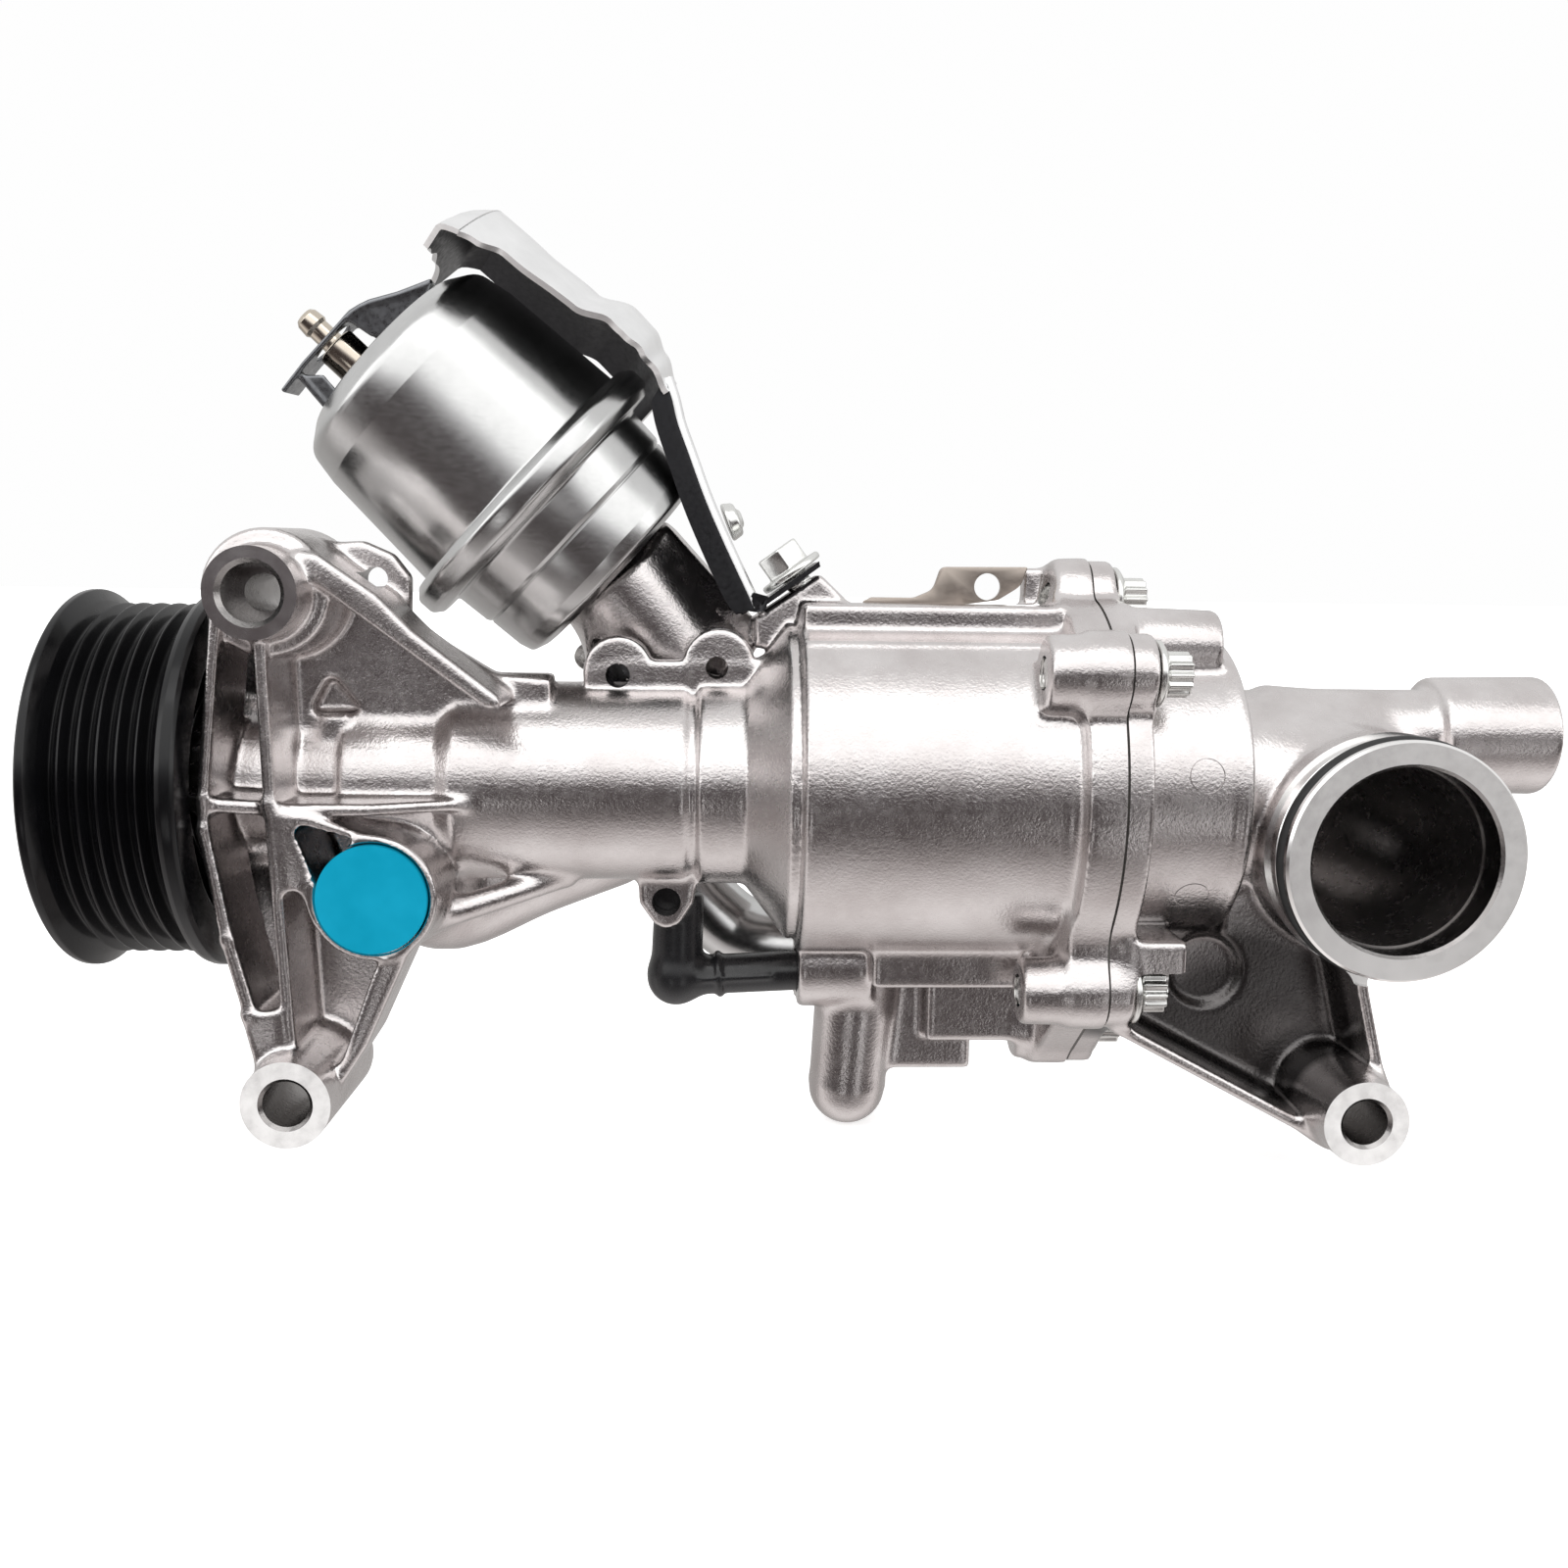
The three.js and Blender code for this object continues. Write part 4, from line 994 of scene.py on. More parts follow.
def housing_cutters():
    """The housing's machined faces, its chamber, its water ways and its holes."""
    joint = cylinder(HOUSING_FACE, 225, 90, 8)
    chamber = lathe("chamber", [(152, 17.5), (192, 17.5), (192, 0), (206, 0), (206, 30.5), (155, 30.5),
                                (152, 27.5)])
    steps = [(20, 0), (20, BEARING_BORE), (44, BEARING_BORE), (44, SHAFT_BORE), (97, SHAFT_BORE),
             (97, BEARING_BORE), (134, BEARING_BORE), (134, 13.3), (193, 13.3), (193, 0)]
    bore = lathe("bore", steps, [], 64)
    transfer = pipe("transfer", TRANSFER, TRANSFER_RADIUS + 0.4, [], 32)
    duct = [(62.9, 5.8, -19), (65, 9, -23), (72, 16, -26.6), (86, 21, -21), (106, 24.4, -14.4)]
    duct_bore = pipe("duct_bore", duct, 8.6, [], 32)
    cutters = [joint, chamber, bore]
    # The walls of the water ways and of the holes below take the bore slot: painted shade.
    cutters += with_slot(BORE_SHADE_SLOT, transfer, duct_bore)
    cutters += [face_mill(*UPPER_LEFT, 15, ENGINE_Y), face_mill(*LOWER_LEFT, 15, ENGINE_Y)]
    cutters += with_slot(BORE_SHADE_SLOT, drill(*UPPER_LEFT, 5.4, ENGINE_Y - 3, ENGINE_Y + 9, 0.9),
                         drill(*UPPER_LEFT, 3.6, ENGINE_Y, 20),
                         drill(*LOWER_LEFT, ENGINE_HOLE, ENGINE_Y - 3, 20, 0.7))
    cutters += [face_mill(*PORT, 18, PORT_FACE), drill(*PORT, 10.9, PORT_FACE - 3, 6, 0.3, 64)]
    x, z, radius = ARM_TAB_HOLE
    cutters += with_slot(BORE_SHADE_SLOT, drill(x, z, radius, -20, 0))
    for x, z, radius in LOBE_HOLES:
        cutters += with_slot(BORE_SHADE_SLOT, drill(x, z, radius, -12, 3))
    x, z, radius = LUG_HOLE
    cutters += with_slot(BORE_SHADE_SLOT, drill(x, z, radius, -12, 1))
    cutters += [cylinder(16, 34, 4.2, 32, CAN), cylinder(144, 149.5, 4.9, 32, about_x(*BYPASS_END)),
                cylinder(-9, 6, CLEARANCE_HOLE, 32, tab_frame(SHIELD_BOLT_AT, 0)),
                cylinder(-7.2, -4, CLEARANCE_HOLE, 32, CAN @ about_y(*LEVER_PIVOT))]
    for y, z, _, _ in COVER_BOLTS.values():
        cutters.append(cylinder(180, 206, CLEARANCE_HOLE, 32, about_x(y, z)))
    return cutters


def housing_casting():
    """The housing in one casting: the stepped neck, the arm, the tower and the chamber."""
    field = Field((19, ENGINE_Y - 4, -81), (209, 47, 70), CAST_STEP)
    field.add(turned([
        (24.5, AXIS), (24.5, 18.4), (25, 19), (28.4, 19), (29.6, 17.5), (39.5, 17.5), (41, 16.6),
        (53.4, 16.6), (54.2, 18.4), (72.4, 18.4), (76, NECK_RADIUS), (121.8, NECK_RADIUS),
        (123, 19.7), (124.2, 19.9),
        (125, 21.5), (133.8, 21.5), (134.6, 22.2), (143.2, 33.4), (143.7, 32.6), (144.6, 32.8),
        (145.4, CHAMBER_RADIUS), (206.5, CHAMBER_RADIUS), (206.5, AXIS),
    ]))
    left_arm(field)
    discharge_duct = [(62.9, 4, -21), (70, 15, -27), (86, 21, -21), (103, 24, -15)]
    field.add(hose(discharge_duct, 13), 4)
    tower(field)
    chamber_pads(field)
    joint_flange(field, 198, 206.5, 3.5)
    arm_pockets(field)
    tower_rooms(field)
    piece = from_field("housing_casting", field, [CAST, MACHINED, BORE], HOUSING_FACES)
    return carve(piece, housing_cutters())


def tab_frame(along, lift):
    """The frame of the shield's bolt: X points out of the tab."""
    run = (TAB_HIGH - TAB_LOW).normalized()
    out = Vector((-run.z, 0, run.x))
    spot = TAB_LOW.lerp(TAB_HIGH, along) + out * lift
    return towards(spot, spot + out)


def cover_arm(field):
    """The lower right arm: its web, its boss and the two ribs along its edges, with a soft round recess."""
    web = [(206, -34), (209, -46), (251, -69.5), (262, -62), (262, -50), (257, -33), (238, -20)]
    field.add(plate_y(web, *WEB_Y), 3)
    engine_boss(field, LOWER_RIGHT, -3)
    field.add(wall((209, -45.5), (253, -69), 2.4, RIB_Y + 2, WEB_ROOT), 3)
    field.add(wall((256.5, -32), (263.3, -58.8), 2.4, RIB_Y + 2, WEB_ROOT), 3)
    field.cut(rod((230.5, -18, -37.4), (230.5, -11, -37.4), 8.5, 7.4, 1.5), 1.5)


def ejector_mark(z, tilt):
    """A cutter for the thin ring that a round ejector pin leaves in the volute's side."""
    y = -math.sqrt(31 ** 2 - z ** 2)
    inward = Vector((0, -y, -z)).normalized()
    start = Vector((223, y, z)) - inward * 0.5
    place = towards(start, start + inward) @ Matrix.Rotation(math.radians(tilt), 4, "Y")
    return lathe("mark", [(-1, 3.2), (-1, 3.55), (0.9, 3.45), (0.9, 3.3)], [], 64, place)


def cover_cutters():
    """The cover's machined faces, the grooves of the pipe end, the bores and the bolt seats."""
    joint = cylinder(190, COVER_FACE, 90, 8)
    inside = cylinder(200, 227, 27.5, 96)
    mouth = drill(*INLET, 18.4, ENGINE_Y - 3, -30, 0.6, 96)
    face = face_mill(*INLET, 30, ENGINE_Y)
    rings = [(-50, 27), (-50, 23.1), (-37, 23.1), (-36.5, 23.6), (-35.4, 23.6), (-35.2, 23.4), (-35.2, 20.2),
             (-30.8, 20.2), (-30.8, 23.2), (-30.6, 23.4), (-26.6, 23.4), (-26.6, 27)]
    spigot = lathe("spigot", rings, [], 128, about_y(*INLET))
    stub_bore = [(250, 0), (250, 8.2), (285, 8.2), (285.4, 10.4), (LENGTH - 0.6, 10.4), (LENGTH, 11),
                 (LENGTH + 2, 11), (LENGTH + 2, 0)]
    stub = lathe("stub", stub_bore, [], 64, about_x(*HEATER))
    end = cylinder(LENGTH, LENGTH + 6, 20, 32, about_x(*HEATER))
    boss_hole = drill(*LOWER_RIGHT, ENGINE_HOLE, ENGINE_Y - 3, 20, 0.7)
    # The inlet's mouth and the boss hole take the bore slot: painted shade.
    cutters = [joint, inside, face, spigot, *with_slot(BORE_SHADE_SLOT, mouth), stub, end,
               face_mill(*LOWER_RIGHT, 15, ENGINE_Y), *with_slot(BORE_SHADE_SLOT, boss_hole)]
    cutters += with_slot(CAST_SLOT, ejector_mark(5.9, -2.5), ejector_mark(-18.9, 3.5))
    for y, z, _, _ in COVER_BOLTS.values():
        cutters.append(cylinder(COVER_SEAT, 226, 6.9, 48, about_x(y, z)))
        cutters.append(cylinder(203, 213, CLEARANCE_HOLE, 32, about_x(y, z)))
    return cutters


def cover_casting():
    """The cover in one casting: the volute, the stubs, the lower arm and its bosses."""
    field = Field((203, ENGINE_Y - 5, -76), (311, 47, 51), CAST_STEP)
    joint_flange(field, 203.5, 210.3, 2)
    field.add(turned([(203.5, AXIS), (203.5, 31), (229.4, 31), (230.1, 31.7), (231.8, 31.7), (232.5, 31),
                      (232.5, AXIS)]), 2.5)
    field.add(hose(ELBOW, 22.6), 5)
    x, z = INLET
    field.add(rod((x, BOSS_FRONT, z), (x, -26.5, z), 24.6, None, 0.4), 1.5)
    heater_y, heater_z = HEATER
    field.add(rod((246, heater_y, heater_z), (283, heater_y, heater_z), 9.7), 5)
    field.add(rod((281.6, heater_y, heater_z), (LENGTH, heater_y, heater_z), 12.4, 12.8, 0.6), 2.5)
    field.add(rod((208, -12, 30), (229, -12, 30), 7.9, 7.3, 1), 2.5)
    field.add(block(208, 221, -31, -15, -41, -27, 1), 2)
    cover_arm(field)
    field.cut(hose(ELBOW, 18))
    field.cut(rod((x, -40, z), (x, -20, z), 18.1))
    piece = from_field("cover_casting", field, [SHADED_COVER_CAST, MACHINED, BORE], COVER_FACES)
    return carve(piece, cover_cutters())


# ---- the stage ----

SENSOR = 36
FOCAL = 1493.5 / 1600 * SENSOR
STUDIO_GLOW = [  # the studio's color at a height angle, counted from the engine's side over the top
    (-180, (0.60, 0.59, 0.58)), (-130, (0.50, 0.48, 0.47)), (-106, (0.90, 0.86, 0.85)),
    (-86, (1.10, 1.06, 1.05)), (-62, (0.82, 0.78, 0.77)), (-43, (0.42, 0.39, 0.385)),
    (-31, (0.10, 0.085, 0.085)), (-6, (0.07, 0.058, 0.058)), (3, (0.12, 0.105, 0.11)), (11, (0.6, 0.59, 0.6)),
    (18, (1.75, 1.75, 1.75)), (56, (1.9, 1.9, 1.9)), (66, (0.9, 0.9, 0.9)), (84, (1.0, 1.0, 1.0)),
    (140, (0.95, 0.95, 0.95)), (180, (0.60, 0.59, 0.58)),
]
LOW_PANELS = [  # azimuth, elevation, radius and strength of the low light panels, angles in degrees
    (-17.5, -21, 8, 1.4),
    (25, -22.5, 8, 1.4),
    (27, -9, 9, 0.75),
]
SOFTBOXES = [  # name, place and size in metres, watts
    ("key", (0.1, -0.45, 0.8), (1.0, 0.35), 1.2),
    ("left", (-0.75, -0.35, 0.25), (0.3, 0.8), 0.4),
    ("right", (1.05, -0.3, 0.3), (0.3, 0.8), 0.4),
]
FLOOR_REACH = 9000


def look_from_the_front():
    """The camera: a lens near the object, a little left of its middle and above it."""
    away, turn, tilt, roll = 306.5, math.radians(2.53), math.radians(8.02), math.radians(0.77)
    place = Vector((129.0, -away, 0.1393 * away))
    ahead = Vector((math.sin(turn) * math.cos(tilt), math.cos(turn) * math.cos(tilt), -math.sin(tilt)))
    level = Vector((math.cos(turn), -math.sin(turn), 0))
    upright = level.cross(ahead)
    right = math.cos(roll) * level + math.sin(roll) * upright
    up = -math.sin(roll) * level + math.cos(roll) * upright
    camera = bpy.data.cameras.new("camera")
    camera.sensor_width = SENSOR
    camera.lens = FOCAL
    camera.clip_start = 0.01
    camera.clip_end = 50
    view = bpy.data.objects.new("camera", camera)
    view.matrix_world = Matrix.Translation(place * MM) @ Matrix((right, up, -ahead)).transposed().to_4x4()
    bpy.context.scene.camera = link(view)


def softbox(name, place, size, watts):
    """A rectangular lamp that points at the middle of the part and is hidden from the camera."""
    light = bpy.data.lights.new(name, "AREA")
    light.shape = "RECTANGLE"
    light.size, light.size_y = size
    light.energy = watts
    lamp = bpy.data.objects.new(name, light)
    aim = Vector((0.15, 0, 0.01)) - Vector(place)
    lamp.matrix_world = Matrix.Translation(place) @ aim.to_track_quat("-Z", "Y").to_matrix().to_4x4()
    link(lamp).visible_camera = False


def studio_world():
    """A studio whose glow depends on the height angle, with a few low panels, and white to the camera."""
    world = bpy.data.worlds.new("studio")
    bpy.context.scene.world = world
    world.use_nodes = True
    tree = world.node_tree
    tree.nodes.clear()
    where = add_node(tree, "TexCoord").outputs["Generated"]
    split = add_node(tree, "SeparateXYZ", {0: where}).outputs
    front = add_node(tree, "Math", {0: split["Y"], 1: -1}, operation="MULTIPLY").outputs[0]
    height = add_node(tree, "Math", {0: split["Z"], 1: front}, operation="ARCTAN2").outputs[0]
    turn = add_node(tree, "MapRange", {"Value": height, "From Min": -math.pi, "From Max": math.pi})
    ramp = add_node(tree, "ValToRGB", {"Fac": turn.outputs[0]})
    fill_ramp(ramp.color_ramp, [((angle + 180) / 360, color) for angle, color in STUDIO_GLOW])
    glow = add_node(tree, "Background", {"Color": ramp.outputs["Color"], "Strength": 1.0}).outputs[0]
    for azimuth, elevation, radius, strength in LOW_PANELS:
        a, e = math.radians(azimuth), math.radians(elevation)
        centre = (math.sin(a) * math.cos(e), -math.cos(a) * math.cos(e), math.sin(e))
        near = add_node(tree, "VectorMath", {0: where, 1: centre}, operation="DOT_PRODUCT").outputs["Value"]
        panel = add_node(tree, "MapRange", {"Value": near, "From Min": math.cos(math.radians(radius)),
                                            "From Max": math.cos(math.radians(radius * 0.6)),
                                            "To Max": strength}).outputs[0]
        light = add_node(tree, "Background", {"Strength": panel}).outputs[0]
        glow = add_node(tree, "AddShader", {0: glow, 1: light}).outputs[0]
    white = add_node(tree, "Background", {"Color": (0.99, 0.99, 0.99, 1)}).outputs[0]
    seen = add_node(tree, "LightPath").outputs["Is Camera Ray"]
    mixed = add_node(tree, "MixShader", {"Fac": seen, 1: glow, 2: white}).outputs[0]
    add_node(tree, "OutputWorld", {"Surface": mixed})


def studio_floor():
    """The white floor under the part, which mirrors nothing."""
    material = bpy.data.materials.new("floor")
    material.use_nodes = True
    wire(material.node_tree, material.node_tree.nodes["Principled BSDF"], {
        "Base Color": (0.9, 0.9, 0.9, 1), "Roughness": 0.9, "Specular IOR Level": 0.1,
        "Emission Color": (1, 1, 1, 1), "Emission Strength": 0.55,
    })
    level = cad_low[2] / MM
    corners = [(x * FLOOR_REACH, y * FLOOR_REACH, level) for x, y in ((-1, -1), (1, -1), (1, 1), (-1, 1))]
    floor = new_piece("floor", corners, [(0, 1, 2, 3)], [material])
    floor.visible_glossy = False


def studio():
    """The camera, the world, the lamps and the floor."""
    look_from_the_front()
    studio_world()
    for name, place, size, watts in SOFTBOXES:
        softbox(name, place, size, watts)
    studio_floor()
    bpy.context.scene.view_settings.view_transform = "Standard"


# ---- the rotor ----

def at_pulley_bolt(i):
    """The y and z of a pulley bolt."""
    turn = 2 * math.pi * i / 3 + 0.4
    return 13.5 * math.cos(turn), 13.5 * math.sin(turn)


def bolt_circle(piece, x0, x1):
    """Cuts the three holes of the pulley's bolts."""
    holes = [cylinder(x0, x1, CLEARANCE_HOLE, 24, about_x(*at_pulley_bolt(i))) for i in range(3)]
    return carve(piece, holes, 0)


def pulley():
    """The six-rib belt pulley, with its web and hub behind the rim."""
    first, pitch, ribs = 3.4, 3.56, 6
    profile = [(0.6, 30, 0.3), (0.6, 37.8, 0.8), (1.2, 38.6, 0.5), (2.5, 38.6, 0.5)]
    for i in range(ribs):
        profile.append((first + pitch * i + 0.5, 36.2, 0.35))
        profile.append((first + pitch * (i + 0.5), 33.2, 0.5))
    profile += [(first + pitch * ribs + 0.4, 36.2, 0.35), (25.9, 38.2, 0.5), (27, 38.6, 0.5),
                (28.7, 38.6, 0.5), (29.4, 37.8, 0.3), (29.4, 30, 0.4), (9, 28.6, 2), (8, 25, 1),
                (7.7, 8.6, 0.3), (3.9, 8.6, 0.3), (3.9, 25, 1), (2.6, 28.6, 1.5)]
    return bolt_circle(lathe("pulley", profile, [BLACK_GLOSS], 160), 2, 9.5)


def thread(x0, x1, radius):
    """A shank with a one-millimetre thread."""
    def distance(x, y, z):
        phase = 2 * math.pi * x + np.arctan2(z, y)
        return both(np.hypot(y, z) - radius + 0.32 * (0.5 - 0.5 * np.cos(phase)), slab(x, x0, x1), 0.4)
    return Solid(distance, (x0, -radius, -radius), (x1, radius, radius))


def star_bolt(name, length, matrix):
    """A flange bolt along +X from its seat, whose head has the waves of a twelve-point socket."""
    def head(x, y, z):
        wave = 4.45 - 0.85 * (0.5 - 0.5 * np.cos(12 * np.arctan2(z, y)))
        return both(np.hypot(y, z) - wave, slab(x, 1, 7), 0.35)
    field = Field((-length - 2, -8.5, -8.5), (8.8, 8.5, 8.5), SMALL_STEP)
    field.add(thread(-length, 0.5, 3.0))
    field.add(turned([(0, AXIS), (0, 6.2), (0.3, 6.6), (1.0, 6.6), (1.5, 6.0), (2.2, 4.9), (2.4, AXIS)]))
    field.add(Solid(head, (1, -4.6, -4.6), (7, 4.6, 4.6)), 0.4)
    field.cut(turned([(5.2, AXIS), (5.2, 2.2), (6.4, 2.7), (9, 2.8), (9, AXIS)]), 0.3)
    return from_field(name, field, [PLATED], BOLT_FACES, matrix)


def hex_bolt(name, length, across, head, washer, matrix):
    """A flanged hexagon bolt along +X from its seat."""
    radius = across / 2
    corner = radius / math.cos(math.pi / 6)
    side = washer + 2
    field = Field((-length - 2, -side, -side), (head + 3, side, side), SMALL_STEP)
    field.add(thread(-length, 0.5, 2.9))
    field.add(turned([(0, AXIS), (0, washer - 0.3), (0.3, washer), (1.2, washer), (1.5, washer - 0.4),
                      (1.6, AXIS)]))
    hexagon = [(corner * math.cos(math.pi * k / 3), corner * math.sin(math.pi * k / 3)) for k in range(6)]
    field.add(plate_x(hexagon, 1, head, 0.3), 0.4)
    field.cut(turned([(head - 0.2, AXIS), (head - 0.2, radius * 0.6), (head + 2, radius * 0.75),
                      (head + 2, AXIS)]), 0.3)
    return from_field(name, field, [PLATED], BOLT_FACES, matrix)


def build_rotor():
    """The pulley, the shaft, the hub and the pulley's bolts."""
    keep(pulley(), "rotor", "black_paint", "drive_pulley")
    shaft = lathe("shaft", [(0, 0), (0, 7.2, 0.4), (0.8, 8, 0.3), (200, 8, 0.2), (200, 6, 0.2), (222, 6, 0.5),
                            (222, 0)], [STEEL], 64)
    keep(shaft, "rotor", "bright_steel", "pump_shaft")
    hub = lathe("hub", [(8, 8.3, 0.3), (8, 19, 0.6), (12, 19, 0.6), (12, 12.5, 1.5), (22.5, 12, 0.5),
                        (22.5, 8.3, 0.3)], [DARK])
    keep(bolt_circle(hub, 7, 14), "rotor", "dark_steel", "hub_flange")
    for i in range(3):
        y, z = at_pulley_bolt(i)
        turn = Matrix.Translation((3.6, y, z)) @ Matrix.Rotation(math.pi, 4, "Z")
        bolt = hex_bolt(f"pulley_bolt_{i + 1}_detail", 9.6, 8, 3.4, 4.8, turn)
        keep(bolt, "rotor", "zinc_steel", f"pulley_bolt_{i + 1}")


# ---- the actuator and its shield ----

def can_shells():
    """The vacuum can's two pressed shells, the upper one closed by a lid."""
    upper = [(-40.2, 4.6), (-40.2, 20, 3), (-36.8, 25.2, 4), (-30, 26.6, 2), (-3.4, 28.6, 1),
             (-2.6, 30.6, 0.8), (-0.4, 30.6), (-0.4, 29.2), (-2.2, 27.6), (-35, 24.4, 3), (-39.1, 18, 3),
             (-39.1, 4.6)]
    lower = [(23.6, 4.2), (23.6, 21.5, 1.5), (22.4, 24.6, 1.5), (19.5, 25.4, 0.5), (12.3, 25.8, 0.2),
             (12, 25.5, 0.2), (11.7, 25.9, 0.2), (11, 26.3, 0.3), (3.6, 26.8, 1), (3.5, 31, 1),
             (1.8, 33, 1.6), (-1.8, 33, 1.6), (-3.6, 30.8, 0.6), (-2.9, 31), (1.2, 31), (1.6, 25.6, 0.5),
             (19.6, 24.2), (21.8, 23, 0.5), (22.4, 21.2), (22.4, 4.2)]
    top = lathe("can_upper_detail", upper, [STEEL], 160, SHELLS)
    lid = cylinder(-40.2, -39.1, 5, 64, SHELLS, [STEEL])
    top = joined("can_upper_detail", [top, lid])
    bottom = lathe("can_lower_detail", lower, [STEEL], 160, SHELLS)
    keep(top, "housing", "bright_steel", "vacuum_can_upper")
    keep(bottom, "housing", "bright_steel", "vacuum_can_lower")


def nipple():
    """The vacuum nipple on the can's outer end, with its barb."""
    profile = [(-58.2, 1.2), (-58.2, 1.9, 0.3), (-57.4, 2.5, 0.3), (-55.2, 2.75, 0.2), (-54.5, 2.3, 0.2),
               (-50, 2.4, 0.2), (-50, 4.3, 0.5), (-42.2, 4.3, 0.4), (-42.2, 2.8), (-39.5, 2.8), (-39.5, 1.2)]
    piece = lathe("nipple", profile, [STEEL_WARM], 64, PORT_END @ about_x(0, NIPPLE_Z))
    keep(piece, "housing", "brass", "vacuum_nipple")


def strip_outline(path, thickness):
    """A bent strip of sheet in a plane, as a closed outline."""
    sides = []
    for sign in (-1, 1):
        side = []
        for i, (x, z) in enumerate(path):
            ax, az = path[max(i - 1, 0)]
            bx, bz = path[min(i + 1, len(path) - 1)]
            length = math.hypot(bx - ax, bz - az)
            shift = sign * thickness / 2 / length
            side.append((x - (bz - az) * shift, z + (bx - ax) * shift))
        sides.append(side)
    return sides[0] + sides[1][::-1]


def guard():
    """A pressed bracket with cheeks, which shields the nipple."""
    field = Field((-54, -10, -23), (-40, 10, 22), SMALL_STEP * 1.2)
    plate = [(-50.4, -19), (-50.9, -12), (-50.9, 2), (-49.6, 6), (-46.6, 11), (-43.6, 17.6)]
    leg = [(-50.6, -14.3), (-46, -15), (-42.8, -15.4)]
    cheek = [(-50.8, 0.2), (-50.4, 4), (-46.6, 11), (-43.4, 17), (-42.6, 16), (-42.6, 3), (-45, 1.2)]
    low_cheek = [(-50.4, -14.4), (-42.8, -15.3), (-42.8, -11.5), (-47, -11)]
    field.add(plate_y(strip_outline(plate, 1.0), -7, 7, 0.3))
    field.add(plate_y(strip_outline(leg, 1.0), -6, 6, 0.3), 0.6)
    for y in (-7, 6):
        field.add(plate_y(cheek, y, y + 1, 0.3), 1)
    field.add(plate_y(low_cheek, -6, -5.1, 0.3), 1)
    field.cut(rod((-60, 0, NIPPLE_Z), (-43, 0, NIPPLE_Z), 4.8, None, 0.1))
    piece = from_field("guard", field, [DARK], 12000, PORT_END)
    keep(piece, "housing", "dark_steel", "port_guard")


def mix(points, t):
    """Reads a value from (place, value) points, smoothly between them."""
    if t <= points[0][0]:
        return points[0][1]
    for (a, p), (b, q) in zip(points, points[1:]):
        if t <= b:
            s = (t - a) / (b - a)
            s = s * s * (3 - 2 * s)
            return p + (q - p) * s
    return points[-1][1]


def sheet_from(name, rows, thickness, materials, matrix=None, painted_shade_column=None):
    """A sheet of metal through a grid of points, with painted shade on its back and from one column on."""
    count = len(rows[0])
    points = [p for row in rows for p in row]
    faces = [(i * count + j, i * count + j + 1, (i + 1) * count + j + 1, (i + 1) * count + j)
             for i in range(len(rows) - 1) for j in range(count - 1)]
    piece = new_piece(name, points, faces, materials, matrix)
    # Faces from that column on take slot 2, painted shade.
    if painted_shade_column is not None:
        slots = [2 if j >= painted_shade_column else 0 for _ in range(len(rows) - 1) for j in range(count - 1)]
        piece.data.polygons.foreach_set("material_index", slots)
    modifier = piece.modifiers.new("thick", "SOLIDIFY")
    modifier.material_offset = 1
    modifier.thickness = thickness * MM
    modifier.offset = 0
    modifier.use_even_offset = False
    modifier.use_quality_normals = True
    return cleaned(apply(piece))


def round_can(x, radius, degrees):
    """A point in the can's frame, at an angle from its top."""
    angle = math.radians(degrees)
    return x, -radius * math.sin(angle), radius * math.cos(angle)


def shield_roof():
    """The shield's curved roof, flared towards its near edge, with painted shade on its underside."""
    rows = []
    for x in np.linspace(SHIELD_END, 6.4, 66):
        near, flare, radius = (mix(table, x) for table in (SHIELD_NEAR, SHIELD_FLARE, SHIELD_RADIUS))
        row = []
        for part in np.arange(45) / 44:
            lip = flare * max(0, (part - 0.72) / 0.28) ** 2
            row.append(round_can(x, radius + lip, SHIELD_FAR + (near - SHIELD_FAR) * part))
        rows.append(row)
    return sheet_from("shield_roof", rows, 1.2, [SHEET, SHADE, SHADE], CAN)


def shield_flap():
    """The flap that closes the shield's outer end, bent over a soft edge, all in painted shade."""
    edge = 37.3
    rows = []
    for part in np.arange(33) / 32:
        depth = mix([(0, 22), (0.55, 21), (0.85, 25), (1, 29)], part)
        row = []
        for j in range(13):
            bend = 3.6 * math.sin(math.pi * min(1, j / 4) / 2)
            row.append(round_can(SHIELD_END - bend, edge + (depth - edge) * j / 12, SHIELD_FAR + 84 * part))
        rows.append(row)
    return sheet_from("shield_flap", rows, 1.1, [SHADE, SHADE, SHADE], CAN)


def strap_path():
    """The strap's middle line in the XZ plane, from the can's shoulder to the casting's tab."""
    shoulder = [(6.2, 37.2), (10, 35.2), (14, 32.6), (20, 29.6), (28.5, 25.4), (38, 21.4), (50.8, 16.4)]
    along = [CAN @ Vector((x, 0, z)) for x, z in shoulder]
    run = (TAB_HIGH - TAB_LOW).normalized()
    out = Vector((-run.z, 0, run.x))
    along += [TAB_LOW.lerp(TAB_HIGH, part) + out * lift
              for part, lift in ((0.04, 1.6), (0.16, 1.05), (0.5, 1.0), (1.05, 1.0))]
    return spline([(p.x, 0, p.z) for p in along], 6)


